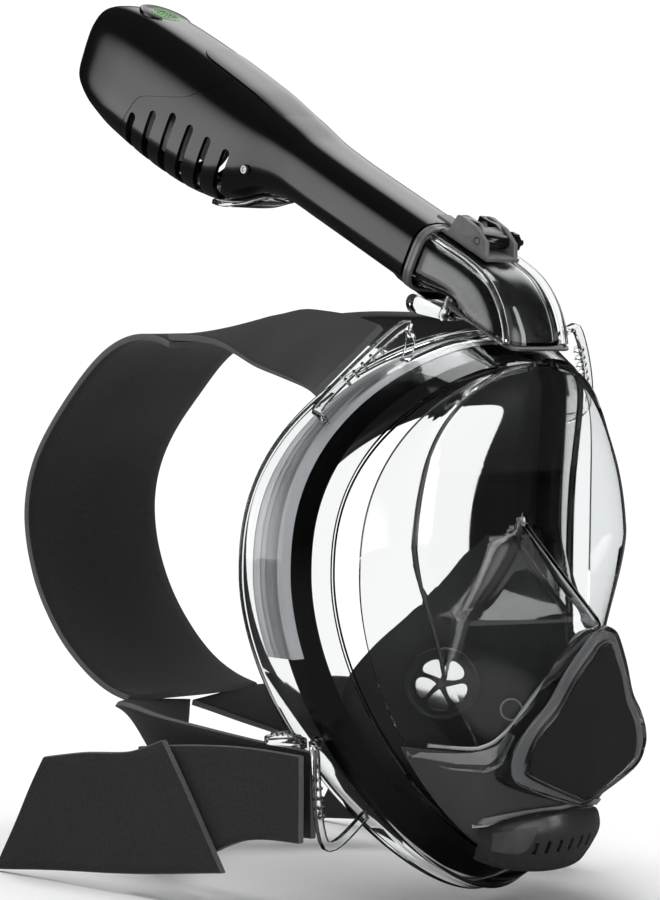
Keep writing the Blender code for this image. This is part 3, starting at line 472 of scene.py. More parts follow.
def join(target, *others):
    """Put other objects' meshes into the target's, each as its own closed shell."""
    work = bmesh.new()
    for made in (target, *others):
        work.from_mesh(made.data)
    work.to_mesh(target.data)
    work.free()
    for made in others:
        bpy.data.objects.remove(made)
    return target


def prism(name, outline, lift, low, high, finish="black"):
    """Extrude an outline between two distances; lift places (u, v, w) in space."""
    return loft(name, [[lift(u, v, w) for u, v in outline] for w in (low, high)], finish)


def lathe(name, profile, centre, axis, finish, steps=64):
    """Turn a profile of (radius, distance along the axis) round the axis."""
    turn = Vector(axis).to_track_quat("Z", "Y")
    sections = []
    for k in range(steps):
        angle = math.tau * k / steps
        c, s = math.cos(angle), math.sin(angle)
        sections.append([Vector(centre) + turn @ Vector((r * c, r * s, z)) for r, z in profile])
    return loft(name, sections, finish, closed=True)


def drill(radius, reach, centre, axis, finish, steps=40):
    """A round cutter through a point."""
    profile = [(AXIS_GAP, -reach), (radius, -reach), (radius, reach), (AXIS_GAP, reach)]
    return lathe("drill", profile, centre, axis, finish, steps)


def tube(name, path, radius, finish, sides=12, closed=False):
    """A round bar along a path."""
    rings = []
    count = len(path)
    side = None
    for k, point in enumerate(path):
        before = Vector(path[k - 1]) if closed or k else Vector(path[0])
        after = Vector(path[(k + 1) % count]) if closed or k < count - 1 else Vector(path[-1])
        heading = (after - before).normalized()
        side = heading.orthogonal() if side is None else side - heading * side.dot(heading)
        side.normalize()
        over = heading.cross(side)
        rings.append([Vector(point) + (side * math.cos(math.tau * j / sides)
                                       + over * math.sin(math.tau * j / sides)) * radius
                      for j in range(sides)])
    return loft(name, rings, finish, closed=closed)


def refined(node, finish, bevel, body, segments=2):
    """A copy of a CAD node with welded, softened edges, shown in its place."""
    made = bpy.data.objects.new(node + "_soft", frame["nodes"][node].data.copy())
    bpy.context.scene.collection.objects.link(made)
    work = bmesh.new()
    work.from_mesh(made.data)
    bmesh.ops.remove_doubles(work, verts=work.verts, dist=1e-6)
    bmesh.ops.dissolve_limit(work, angle_limit=math.radians(2.0), verts=work.verts,
                             edges=work.edges)
    work.to_mesh(made.data)
    work.free()
    made.data.materials.clear()
    made.data.materials.append(FINISH[finish])
    rounded(made, bevel, segments, 30.0)
    return finish_piece(made, body, (node,))


def smooth_step(value, low, high):
    """0 to 1, eased, as value goes from low to high."""
    t = min(1.0, max(0.0, (value - low) / (high - low)))
    return t * t * (3 - 2 * t)


def spline(points, steps):
    """Catmull-Rom curve through points of any length, with so many steps a span."""
    ends = [points[0], *points, points[-1]]
    curve = []
    for k in range(1, len(ends) - 2):
        a, b, c, d = (Vector(p) for p in ends[k - 1:k + 3])
        for step in range(steps):
            t = step / steps
            curve.append(0.5 * (2 * b + (c - a) * t + (2 * a - 5 * b + 4 * c - d) * t ** 2
                                + (3 * b - a - 3 * c + d) * t ** 3))
    curve.append(Vector(points[-1]))
    return curve


def soft_bend(first, corner, last, steps):
    """Points of an eased corner between two points on its sides."""
    bend = []
    for k in range(steps + 1):
        t = k / steps
        bend.append(first * (1 - t) ** 2 + corner * 2 * t * (1 - t) + last * t * t)
    return bend


def along_table(table, value):
    """Read a row of values between the stations of a short design table, smoothly."""
    rows = [table[0], *table, table[-1]]
    for k in range(1, len(rows) - 2):
        low, high = rows[k][0], rows[k + 1][0]
        if value <= high or k == len(rows) - 3:
            t = min(1.0, max(0.0, (value - low) / (high - low)))
            out = []
            for a, b, c, d in zip(rows[k - 1][1:], rows[k][1:], rows[k + 1][1:], rows[k + 2][1:]):
                out.append(0.5 * (2 * b + (c - a) * t + (2 * a - 5 * b + 4 * c - d) * t * t
                                  + (3 * b - a - 3 * c + d) * t ** 3))
            return out
    return list(table[-1][1:])


# ---------------------------------------------------------------- shape of the mask
def rim_half_width(z, inset=0.0):
    """Half width of the rim's egg outline at a height, drawn in by an inset."""
    rise, power = (RIM_RISE, RIM_TOP_POWER) if z > RIM_CENTRE_Z else (RIM_DROP, RIM_CHIN_POWER)
    share = min(1.0, abs(z - RIM_CENTRE_Z) / (rise - inset))
    return (RIM_HALF_WIDTH - inset) * (1 - share ** power) ** (1 / power)


def rim_outline(angle, inset=0.0):
    """(x, z) on the same outline, by angle."""
    c, s = math.cos(angle), math.sin(angle)
    rise, power = (RIM_RISE, RIM_TOP_POWER) if s > 0 else (RIM_DROP, RIM_CHIN_POWER)
    x = (RIM_HALF_WIDTH - inset) * math.copysign(abs(c) ** (2 / power), c)
    z = RIM_CENTRE_Z + (rise - inset) * math.copysign(abs(s) ** (2 / power), s)
    return x, z


def rim_y(x, z):
    """How far forward the rim's corner lies: it bows round the face."""
    bow = RIM_BOW + RIM_BOW_TILT * z
    return RIM_SIDE_Y - bow * (1 - (x / RIM_HALF_WIDTH) ** 2)


def rim_point(angle, inset, shift, share=0.0):
    """A point of a ring round the face; share counts the side wall's depth at that angle."""
    x, z = rim_outline(angle, inset)
    outer_x, outer_z = rim_outline(angle)
    depth = 12.0 + 13.0 * (outer_x / RIM_HALF_WIDTH) ** 2
    return Vector((x, rim_y(outer_x, outer_z) + shift + share * depth, z))


def rim_ring(name, profile, finish, start=0.0, stop=math.tau):
    """A ring, or part of one, round the face; each profile corner is (inset, shift, share)."""
    closed = stop - start > math.tau - 0.01
    sections = []
    count = max(12, round(RIM_STEPS * (stop - start) / math.tau))
    for k in range(count + (0 if closed else 1)):
        angle = start + (stop - start) * (k + (0.5 if closed else 0.0)) / count
        sections.append([rim_point(angle, *corner) for corner in profile])
    return loft(name, sections, finish, closed=closed)


def crease_half_width(z):
    """Half width of the lens's front, out to the crease before its side panes."""
    edge = rim_half_width(z, LENS_INSET)
    crease = CHEEK_HALF_WIDTH + (CREASE_HALF_WIDTH - CHEEK_HALF_WIDTH) * smooth_step(z, -35.0, 35.0)
    if z > 40.0:
        share = min(1.0, (z - 40.0) / 64.0)
        crease = max(CREASE_HALF_WIDTH * (1 - share ** 2.1) ** (1 / 2.1), 0.45 * edge)
    return min(crease, max(edge - 6.0, 0.8 * edge))


def ridge_line(z):
    """(y of the nose ridge, slope of its flanks) at a height."""
    slope = max(0.25, 0.25 + 0.0157 * (z + 60.0))
    if z < NOSE_Z:
        return NOSE_Y + 0.17 * (NOSE_Z - z), slope
    return max(NOSE_Y, PANEL_Y - 1.03 * max(0.0, BRIDGE_Z - z)), slope


def front_y(x, z):
    """The front surface of lens and jaw: a flat panel with a nose ridge that becomes the jaw."""
    x = abs(x)
    panel = PANEL_Y - 12.0 * max(0.0, z - 60.0) / 52.0 * (1 - min(1.0, x / 60.0) ** 2)
    if z >= BRIDGE_Z:
        return panel
    ridge, slope = ridge_line(z)
    soft = math.hypot(x, RIDGE_RADIUS) - RIDGE_RADIUS
    fall = 0.45 * max(0.0, JAW_TURN_Z - z)
    return min(panel, ridge + slope * soft) + fall


def front_half_section(z, offset=0.0):
    """One half of a level cut through lens or jaw, from the middle to the rim."""
    crease = crease_half_width(z)
    edge = rim_half_width(z, LENS_INSET)
    ridge, slope = ridge_line(z)
    valley = min(max((PANEL_Y - ridge) / slope, 0.08 * crease), 0.92 * crease)
    stations = [valley * t for t in (0.0, 0.06, 0.14, 0.26, 0.45, 0.7, 0.9, 1.0)]
    stations += [valley + (crease - valley) * t for t in (0.1, 0.3, 0.55, 0.8, 0.95)]
    half = [(x, front_y(x, z) + offset) for x in stations]
    crease_y = front_y(crease, z) + offset
    edge_y = rim_y(edge, z) - BEVEL_DEPTH + 0.5 + offset
    for t in (0.04, 0.1, 0.25, 0.45, 0.65, 0.85, 1.0):
        bulge = 2.4 * math.sin(math.pi * t)
        half.append((crease + (edge - crease) * t + 0.6 * bulge,
                     crease_y + (edge_y - crease_y) * t - bulge))
    return half


def front_at(x, z):
    """y of the front surface at any point between the rim's two sides, side panes included."""
    half = front_half_section(z)
    for (x0, y0), (x1, y1) in zip(half, half[1:]):
        if abs(x) <= x1:
            return y0 + (y1 - y0) * (abs(x) - x0) / max(1e-6, x1 - x0)
    return half[-1][1]


def front_spot(x, z, lift):
    """A point lifted off the front surface along its own normal."""
    across = front_at(x + 0.5, z) - front_at(x - 0.5, z)
    down = front_at(x, z + 0.5) - front_at(x, z - 0.5)
    return Vector((x, front_at(x, z), z)) + Vector((across, -1.0, down)).normalized() * lift


def front_grid(low, high, step):
    """Rows of points over the front surface between two levels."""
    rows = max(2, round((high - low) / step))
    grid = []
    for k in range(rows + 1):
        z = low + (high - low) * k / rows
        half = front_half_section(z)
        grid.append([(-x, y, z) for x, y in reversed(half[1:])] + [(x, y, z) for x, y in half])
    return grid


def border_curve(shift=0.0):
    """The whole edge between lens and jaw, from side to side."""
    half = [(p.x, p.y) for p in spline([(x, z + shift, 0) for x, z in BORDER_HALF], 5)]
    return [(-x, z) for x, z in reversed(half[1:])] + half


def border_cutter(shift, far):
    """A block over everything between the lens and jaw's edge and a far level."""
    outline = border_curve(shift) + [(96, far), (-96, far)]
    return prism("border_cutter", outline, upright, -140, 60)


def upright(x, z, y):
    """Place an outline drawn on the mask's front."""
    return Vector((x, y, z))


# ---------------------------------------------------------------- lens, jaw and frame
def make_lens():
    """The window, cut along its edge with the jaw, and a thin grey tube down each crease that
    paints the fold's dark line as painted shade.
    """
    lens = sheet("visor_lens", front_grid(-72.0, 104.2, FRONT_STEP), LENS_THICKNESS, "clear")
    cut(lens, border_cutter(0.0, -160))
    finish_piece(lens, "mask", ("lens",), sharp=50.0)
    # grey tubes along the creases: painted shade for the dark line each fold shows
    for side, word in SIDES:
        path = []
        for k in range(46):
            z = -26.0 + 126.0 * k / 45
            x = crease_half_width(z)
            path.append((side * (x - 0.2), front_y(x, z) + 0.9, z))
        finish_piece(tube("crease_shade_line_" + word, path, 0.85, "crease"), "mask")


def make_jaw():
    """The chin housing, the raised strips along its top edge and round the chin, and the pale
    strips that paint white highlight lines there.
    """
    jaw = sheet("chin_jaw", front_grid(-106.5, 2.0, FRONT_STEP), -JAW_THICKNESS, "smoke")
    cut(jaw, border_cutter(-0.3, 150), drill(10.8, 15, DRAIN_CENTRE, DRAIN_AXIS, "smoke"))
    finish_piece(jaw, "mask", ("jaw_frame",), sharp=50.0)
    edge = [(x, z) for x, z in border_curve() if abs(x) < rim_half_width(z, LENS_INSET) - 0.6]
    chin = [(49.0 * t / 24, -84.5 - 4.0 * (t / 24) ** 2) for t in range(-24, 25)]
    chin = [(x, z) for x, z in chin if abs(x) < rim_half_width(z, LENS_INSET) - 3.0]
    # the milky and frosted strips paint white highlight lines along the lens's lower edge, below
    # the jaw's lip and round the chin
    # name, line it follows, its top and low edges beside the line, lift off the jaw, finish
    for name, line, top, low, proud, finish in (("lens_lip_highlight", edge, 1.8, 0.4, 0.3, "milky"),
                                                ("jaw_lip", edge, -0.8, -4.6, 3.2, "lip"),
                                                ("jaw_highlight_line", edge, -6.2, -7.0, 3.1, "frosted"),
                                                ("chin_band", chin, 2.4, -0.4, 3.3, "lip"),
                                                ("chin_highlight_line", chin, -1.4, -2.2, 3.2, "milky")):
        grid = [[front_spot(x, z + top + (low - top) * t, proud + lift) for t, lift in TRIM_CROWN]
                for x, z in line]
        finish_piece(sheet(name, grid, 2.0, finish), "mask", sharp=50.0)


def duct_cutter(front, back, low):
    """A notch through the top of a rim ring for the air duct."""
    outline = [(-11, front), (11, front), (11, back), (-11, back)]
    return prism("duct_cutter", outline, lambda x, y, z: Vector((x, y, z)), low, 130)


def make_frame():
    """The clear outer frame: a flange, a side wall and a bevel that meets the lens."""
    span = (math.radians(-17), math.radians(197))
    frame_ring = rim_ring("clear_frame", FRAME_PROFILE, "clear")
    cut(frame_ring, duct_cutter(-46, -33, 104))
    finish_piece(frame_ring, "mask", ("lens_frame",), sharp=30.0)
    # pale strips behind the clear side wall, greyer to whiter: painted highlight and shading of the
    # wall
    for k, (near, far, finish) in enumerate(((0.16, 0.34, "band_2"), (0.34, 0.52, "band_1"),
                                             (0.52, 0.66, "band_2"), (0.66, 0.86, "band_3"))):
        band = [(4.2, 0.0, near), (4.0, 0.0, far), (4.8, 0.0, far), (5.0, 0.0, near)]
        finish_piece(rim_ring(f"frame_highlight_band_{k + 1}", band, finish, *span), "mask")
    ring = rim_ring("seal_carrier", CARRIER_PROFILE, "black")
    cut(ring, duct_cutter(-48, -37, 100))
    finish_piece(ring, "mask", ("inner_frame",), sharp=40.0)
    # a near-white ring on the carrier's front edge: painted highlight
    finish_piece(rim_ring("carrier_edge_highlight", CARRIER_EDGE, "edge", *span), "mask")
    joint = [(14.0, -16.6), (14.5, -17.3), (15.0, -16.8), (14.6, -16.1)]
    finish_piece(rim_ring("lens_joint", joint, "black"), "mask")


def make_skirt():
    """The silicone funnel that leads to the face, with its rolled lip."""
    skirt = rim_ring("face_skirt_soft", SKIRT_FRONT + SKIRT_BACK, "silicone")
    finish_piece(skirt, "mask", ("face_skirt",), sharp=60.0)


# ---------------------------------------------------------------- nose pocket and valves
def pocket_row(z, shares):
    """The pocket's level section, from the face round the ridge to the face again."""
    face_x, face_y, ridge_y, fullness = along_table(POCKET_TABLE, z)
    half = []
    for share in shares:
        bulge = fullness * math.sin(math.pi * share) ** 2
        x = math.hypot(face_x * (1 - share), 1.6 * share) - 1.6 * share
        half.append((x, face_y + (ridge_y - face_y) * share - bulge, z))
    return [(-x, y, z) for x, y, z in half] + half[-2::-1]


def valve_place(side):
    """Centre and outward axis of an inhale valve."""
    x, y, z = VALVE_CENTRE
    return Vector((side * x, y, z)), Vector((side * VALVE_AXIS[0], *VALVE_AXIS[1:])).normalized()


def wheel(name, centre, axis, count, bore, thickness, finish, hub=2.6, web=1.1, twist=0.0):
    """A round plate whose rounded openings leave curved spokes."""
    turn = Vector(axis).to_track_quat("Z", "Y")
    half = thickness / 2
    edge = bore + 1.2
    plate = lathe(name, [(AXIS_GAP, -half), (edge, -half), (edge, half), (AXIS_GAP, half)],
                  centre, axis, finish, 60)
    middle, reach = (bore + hub) / 2, (bore - hub) / 2

    def place(u, v, w):
        return Vector(centre) + turn @ Vector((u, v, w))

    tools = []
    for k in range(count):
        outline = []
        for j in range(36):
            c, s = math.cos(math.tau * j / 36), math.sin(math.tau * j / 36)
            radius = middle + reach * math.copysign(abs(c) ** 0.75, c)
            room = max(0.06, math.pi / count - web / radius)
            angle = math.tau * (k + 0.5) / count + room * math.copysign(abs(s) ** 0.7, s)
            angle += twist * (radius - hub) / bore
            outline.append((radius * math.cos(angle), radius * math.sin(angle)))
        tools.append(prism("opening_cutter", outline, place, -half - 1, half + 1))
    cut(plate, *tools)
    return rounded(plate, 0.25, 2, 50.0)


def leaf_profile(flat, edge, swell):
    """Profile of a thin valve flap that is thicker in the middle."""
    return [(AXIS_GAP, -0.3), (flat, -0.3), (edge, -0.1), (edge + 0.2, 0.1), (edge, 0.3),
            (flat, swell), (AXIS_GAP, 0.3)]


def make_pocket():
    """The nose and mouth pocket with its two inhale valves and two cheek plugs."""
    shares = [k / 22 for k in range(21)] + [0.965, 0.985, 1.0]
    grid = [pocket_row(-86 + 117 * k / 54, shares) for k in range(55)]
    pocket = sheet("breathing_pocket", grid, 2.0, "pocket")
    tools = []
    for side in (-1, 1):
        centre, axis = valve_place(side)
        tools.append(drill(14.4, 13, centre, axis, "pocket", 60))
        tools.append(drill(4.9, 11, (side * PLUG_CENTRE[0], *PLUG_CENTRE[1:]), axis, "pocket"))
    cut(pocket, *tools)
    rounded(pocket, 0.6, 3, 55.0)
    finish_piece(pocket, "mask", ("nose_pocket",), sharp=60.0)

    for side, word in SIDES:
        centre, axis = valve_place(side)
        plug_centre = (side * PLUG_CENTRE[0], *PLUG_CENTRE[1:])
        seat = lathe("valve_ring_" + word, VALVE_SEAT, centre, axis, "pocket", 72)
        star = wheel("valve_star_" + word, centre, axis, 5, 11.2, 1.8, "pocket", 2.4, 0.9, 0.25)
        finish_piece(join(seat, star), "mask", ("inhale_seat_" + word,))
        button = lathe("valve_button_" + word, VALVE_BUTTON, centre, axis, "grey", 24)
        finish_piece(button, "mask")
        flap = lathe("valve_leaf_" + word, leaf_profile(9.0, 12.4, 0.15), centre - axis * 2.3, axis,
                     "valve", 60)
        finish_piece(flap, "inhale_flap_" + word, ("inhale_flap_" + word,))
        cheek = lathe("cheek_plug_" + word, CHEEK_PLUG, plug_centre, axis, "crease", 40)
        finish_piece(cheek, "mask", ("cheek_valve_" + word,))
        rim = lathe("cheek_rim_" + word, [(4.2, 2.2), (4.9, 2.2), (4.9, 2.7), (4.2, 2.7)],
                    plug_centre, axis, "band_2", 40)
        finish_piece(rim, "mask")


# ---------------------------------------------------------------- front plate and drain
def shield_y(x, z):
    """The front plate's own surface, slightly folded down the middle."""
    fold = math.hypot(x, 3.0) - 3.0
    return -96.0 + 0.17 * (-16.0 - z) + 0.14 * fold


def make_shield():
    """The black front plate, and its clear surround over a grey bed."""
    grid = []
    half_widths = [(-level, half) for level, half in SHIELD_HALF]
    for k in range(67):
        z = -13.0 - k
        half = along_table(half_widths, -z)[0]
        grid.append([(half * t, shield_y(half * t, z), z) for t in SHIELD_SHARES])
    plate = sheet("shield_plate", grid, -2.4, "shield", bevel=0.5)
    finish_piece(plate, "mask", ("front_shield",), sharp=60.0)

    inner = [(0.0, SHIELD_HALF[0][0] + 1.6), *[(x + 0.6, z) for z, x in SHIELD_HALF],
             (0.0, SHIELD_HALF[-1][0] - 0.8)]
    pairs = list(zip(spline([(x, z, 0) for x, z in inner], 6),
                     spline([(x, z, 0) for x, z in BEZEL_HALF], 6)))
    pairs += [(Vector((-a.x, a.y, 0)), Vector((-b.x, b.y, 0))) for a, b in reversed(pairs[1:-1])]
    sections, bed = [], []
    for a, b in pairs:
        inner_y, outer_y = shield_y(a.x, a.y), shield_y(b.x, b.y)
        inner_front, outer_front = inner_y - 0.4, outer_y + 1.5
        inner_back = min(inner_front + 6.0, front_y(a.x, a.y) - 0.6)
        outer_back = max(outer_front + 2.0, min(front_y(b.x, b.y) - 0.6, outer_front + 9.0))
        ring = []
        for share, rise in BEZEL_CROWN:
            flat = a + (b - a) * share
            ring.append((flat.x, inner_front + (outer_front - inner_front) * share + rise, flat.y))
        ring += [(b.x, outer_back - 0.5, b.y), (b.x * 0.985, outer_back, b.y),
                 (a.x, inner_back, a.y)]
        sections.append(ring)
        strip = []
        for share in (0.06, 0.25, 0.5, 0.72):
            flat = a + (b - a) * share
            strip.append((flat.x, inner_y + (outer_y - inner_y) * share + 2.6, flat.y))
        bed.append(strip + [(x, y + 0.8, z) for x, y, z in reversed(strip)])
    under = loft("surround_bed", bed, "bed", closed=True)
    finish_piece(under, "mask", sharp=40.0)
    surround = loft("shield_surround", sections, "clear", closed=True)
    finish_piece(surround, "mask", ("shield_bezel",), sharp=40.0)


def drain_arc(angle, shift=0.0):
    """A point on the drain cover's bow, seen from above."""
    depth = (20.8 + 0.6 * shift) * max(0.0, math.cos(angle)) ** 0.9
    return (38.5 + shift) * math.sin(angle), -52.5 - depth


def drain_column(angle):
    """One upright section of the drain cover, from its inner top edge to its lower lip."""
    middle = math.cos(angle)
    x, y = drain_arc(angle)
    inner_x, inner_y = drain_arc(angle, -5.0)
    top, low = -92.5 + 6.5 * middle, -101.0 - 8.0 * middle
    corners = [Vector((inner_x, inner_y, top + 1.0)), Vector((x, y, top)),
               Vector((x * 1.01, y - 1.5, (top + low) / 2)), Vector((x * 0.97, y + 2.0, low + 2.0)),
               Vector((x * 0.91, y + 5.0, low - 2.8))]
    column = [corners[0]]
    for k, ease in ((1, 0.4), (2, 0.45), (3, 0.45)):
        column += soft_bend(corners[k].lerp(corners[k - 1], ease), corners[k],
                            corners[k].lerp(corners[k + 1], ease), 5)
    return column + [corners[4]]


def drain_slot(angle):
    """A cutter for one slot through the drain cover, round at both ends."""
    x, y = drain_arc(angle)
    out = Vector((math.sin(angle), -math.cos(angle), -0.25)).normalized()
    up = Vector((0.25, 0.0, 1.0)).normalized()
    over = out.cross(up).normalized()
    middle = Vector((x, y + 2.0, -100.0))
    outline = [(1.1 * math.cos(math.pi * j / 8),
                (1.9 if j <= 8 else -1.9) + 1.1 * math.sin(math.pi * j / 8))
               for j in range(17) if j != 8]
    return prism("drain_slot", outline, lambda u, v, w: middle + over * u + up * v + out * w, -8, 8)


def make_drain():
    """The chin purge valve: seat, flap, slotted cover and the grey patch on its side."""
    axis = Vector(DRAIN_AXIS).normalized()
    centre = Vector(DRAIN_CENTRE)
    seat_centre = centre + axis * 3.8
    ring = lathe("drain_ring", DRAIN_SEAT, seat_centre, axis, "smoke", 60)
    star = wheel("drain_star", seat_centre, axis, 4, 10.2, 1.8, "smoke", 2.6, 1.0)
    finish_piece(join(ring, star), "mask", ("drain_seat",))
    leaf = lathe("drain_leaf", leaf_profile(8.0, 11.2, 0.2), centre + axis * 6.0, axis, "valve", 60)
    finish_piece(leaf, "drain_flap", ("drain_flap",))
    grid = [drain_column(math.radians(-80 + 160 * k / 64)) for k in range(65)]
    cover = sheet("drain_shell", grid, 1.8, "drain", bevel=0.4)
    cut(cover, *[drain_slot(math.radians(-25 + 10 * k)) for k in range(6)])
    finish_piece(cover, "mask", ("drain_cover",), sharp=60.0)
    patch = []
    for k in range(6, 23):
        angle = math.radians(-80 + 2.5 * k)
        out = Vector((math.sin(angle), -math.cos(angle), 0.1)) * 0.3
        reach = 13.5 - 7.5 * smooth_step(k, 14, 23) ** 2
        spots = [6.0 + (reach - 6.0) * j / 8 for j in range(9)]
        patch.append([grid[k][int(t)].lerp(grid[k][int(t) + 1], t % 1.0) + out for t in spots])
    finish_piece(sheet("drain_inlay", patch, 0.5, "grey"), "mask")


# ---------------------------------------------------------------- snorkel
def tube_point(x, s, n):
    """A point in the snorkel's own axes."""
    return TUBE_FOOT + ACROSS * x + ALONG * s + FRONT * n


def side_place(s, n, x):
    """The same point, for an outline drawn on the snorkel's side."""
    return tube_point(x, s, n)


def box_ring(half_x, low, high, radius, place, arc=7, flat=5):
    """A rounded rectangle; its flats are divided for even shading."""
    radius = min(radius, half_x * 0.98, (high - low) * 0.49)
    corners = ((1, 1, 0.0), (-1, 1, 0.25), (-1, -1, 0.5), (1, -1, 0.75))

    def spot(side, up, turn):
        return (side * (half_x - radius) + radius * math.cos(math.tau * turn),
                (high if up > 0 else low) - up * radius + radius * math.sin(math.tau * turn))

    ring = []
    for k, (side, up, start) in enumerate(corners):
        ring += [spot(side, up, start + 0.25 * j / arc) for j in range(arc + 1)]
        here, end = ring[-1], spot(*corners[(k + 1) % 4])
        ring += [(here[0] + (end[0] - here[0]) * t / flat, here[1] + (end[1] - here[1]) * t / flat)
                 for t in range(1, flat)]
    return [place(x, v) for x, v in ring]


def tube_ring(s, half_x, low, high, count=96, power=CORNER_POWER):
    """A superellipse ring square to the snorkel's axis."""
    return soft_ring(half_x, low, high, lambda x, n: tube_point(x, s, n), count, power)


def soft_ring(half_x, low, high, place, count=96, power=CORNER_POWER):
    """A superellipse ring: flat-sided, with corners that ease into the sides."""
    middle, half = (low + high) / 2, (high - low) / 2
    ring = []
    for k in range(count):
        c, s = math.cos(math.tau * k / count), math.sin(math.tau * k / count)
        scale = (abs(c) ** power + abs(s) ** power) ** (-1 / power)
        ring.append(place(half_x * c * scale, middle + half * s * scale))
    return ring


def head_ring(s, wall):
    """The snorkel's skin at a station, drawn in by a wall."""
    front, back, half_x = along_table(HEAD_TABLE, s)
    return tube_ring(s, half_x - wall, back + wall, front - wall)


def skin_point(x, s, rise):
    """A point on the front of the snorkel's skin, lifted by rise."""
    front, back, half_x = along_table(HEAD_TABLE, s)
    bow = (1 - min(1.0, abs(x) / half_x) ** CORNER_POWER) ** (1 / CORNER_POWER)
    return tube_point(x, s, (front + back) / 2 + (front - back) / 2 * bow + rise)


def snorkel_shell(name):
    """The hollow outer skin of the whole snorkel, before it is parted."""
    rings = [head_ring(s, 0.0) for s in SKIN_STATIONS]
    for rise, inset in ((0.5, 1.2), (0.8, 2.8), (0.9, 5.0)):
        rings.append([p + ALONG * rise for p in head_ring(245.4, inset)])
    spigot = [tube_ring(s, 15.2, -10.2, 10.6) for s in (-11.0, 0.2)]
    shell = loft(name, spigot + rings, "black")
    bore = [tube_ring(s, 13.2, -8.2, 8.6) for s in (-15.0, 3.0)]
    bore += [head_ring(s, 2.0) for s in BORE_STATIONS]
    return cut(shell, loft("bore_cutter", bore, "black"))


def cap_outline(shift):
    """The parting line between the grilled lower head and its cap, in (s, n)."""
    corners = [Vector((*corner, 0)) for corner in CAP_CORNERS]
    eased = [corners[0]]
    for before, here, after in zip(corners, corners[1:], corners[2:]):
        eased += soft_bend(here + (before - here).normalized() * 5.0, here,
                           here + (after - here).normalized() * 5.0, 4)
    return [(p.x + shift, p.y) for p in [*eased, corners[-1]]] + [(265, -52), (265, 34)]


def make_slot(s, top, side):
    """One grille slot: round at its top, leaning back as it goes round the corner."""
    half = SLOT_WIDTH / 2
    outline = [(s + half * math.cos(math.pi * k / 8), top + half * math.sin(math.pi * k / 8))
               for k in range(9)]
    outline += [(s - half + 0.6, -26), (s - half + 2.5, -60), (s + half + 2.5, -60),
                (s + half + 0.6, -26)]
    low, high = sorted((side * 11.6, side * 34.0))
    return prism("slot_cutter", outline, side_place, low, high)


def make_snorkel():
    """The tube with its grilled lower head, the cap, the front inlay and the latch tongue."""
    tube_shell = snorkel_shell("snorkel_body")
    cut(tube_shell, prism("part_cutter", cap_outline(-0.4), side_place, -40, 40))
    cut(tube_shell, *[make_slot(SLOT_FIRST + SLOT_PITCH * k, SLOT_TOP - SLOT_STEP_DOWN[k], side)
                      for side in (-1, 1) for k in range(SLOT_COUNT)])
    finish_piece(tube_shell, "snorkel", ("snorkel_tube",), sharp=40.0)
    cap = snorkel_shell("snorkel_cap")
    cut(cap, prism("cap_cutter", cap_outline(0.0), side_place, -40, 40), operation="INTERSECT")
    finish_piece(cap, "snorkel", ("head_cap",), sharp=40.0)

    tongue = []
    stations = [79 + 81 * k / 27 for k in range(27)]
    stations += [160 + 14 * math.sin(math.pi * k / 28) for k in range(15)]
    for s in stations:
        half = 13.0 * math.sqrt(max(0.01, 1 - max(0.0, (s - 160.0) / 14.1) ** 2))
        rise = -0.5 + 1.2 * smooth_step(s, 86.0, 130.0)
        tongue.append([skin_point(x * half / 8, s, rise) for x in range(-8, 9)])
    panel = sheet("front_inlay", tongue, 1.2, "black")
    finish_piece(panel, "snorkel", ("front_panel",), sharp=40.0)
    make_badge()
    hook = rounded(prism("latch_tongue", LATCH_OUTLINE, side_place, -8, 8), 0.3)
    finish_piece(hook, "snorkel")


def make_badge():
    """A plain round boss with a rim and three small wave ribs."""
    front = along_table(HEAD_TABLE, BADGE_S)[0]
    boss = lathe("boss", BOSS_PROFILE, tube_point(0, BADGE_S, front), FRONT, "black", 72)
    finish_piece(boss, "snorkel", ("badge",), sharp=40.0)

    def on_boss(x, s):
        return tube_point(x, BADGE_S + s, front + 0.35)

    for k, (radius, width) in enumerate(((6.6, 0.35), (5.2, 0.2))):
        ring = [on_boss(radius * math.cos(math.tau * j / 48), radius * math.sin(math.tau * j / 48))
                for j in range(48)]
        made = tube(f"boss_ring_{k + 1}", ring, width, "green", 8, closed=True)
        finish_piece(made, "snorkel")
    for row, reach in ((-1, 3.6), (0, 4.4), (1, 3.6)):
        wave = [on_boss(-reach + reach * k / 8, 2.2 * row + 0.5 * math.sin(k * 1.1))
                for k in range(17)]
        finish_piece(tube(f"wave_rib_{row + 2}", wave, 0.3, "green", 8), "snorkel")


# ---------------------------------------------------------------- air elbow, lever and camera mount
def elbow_station(front, back, half_x, wall):
    """A rounded rectangle between a front and a back point of the duct."""
    foot = Vector((0, back.x, back.y))
    span = Vector((0, front.x, front.y)) - foot
    length = span.length
    span.normalize()
    return soft_ring(half_x - wall, wall, length - wall, lambda x, v: foot + span * v + ACROSS * x,
                     80, 4.0)


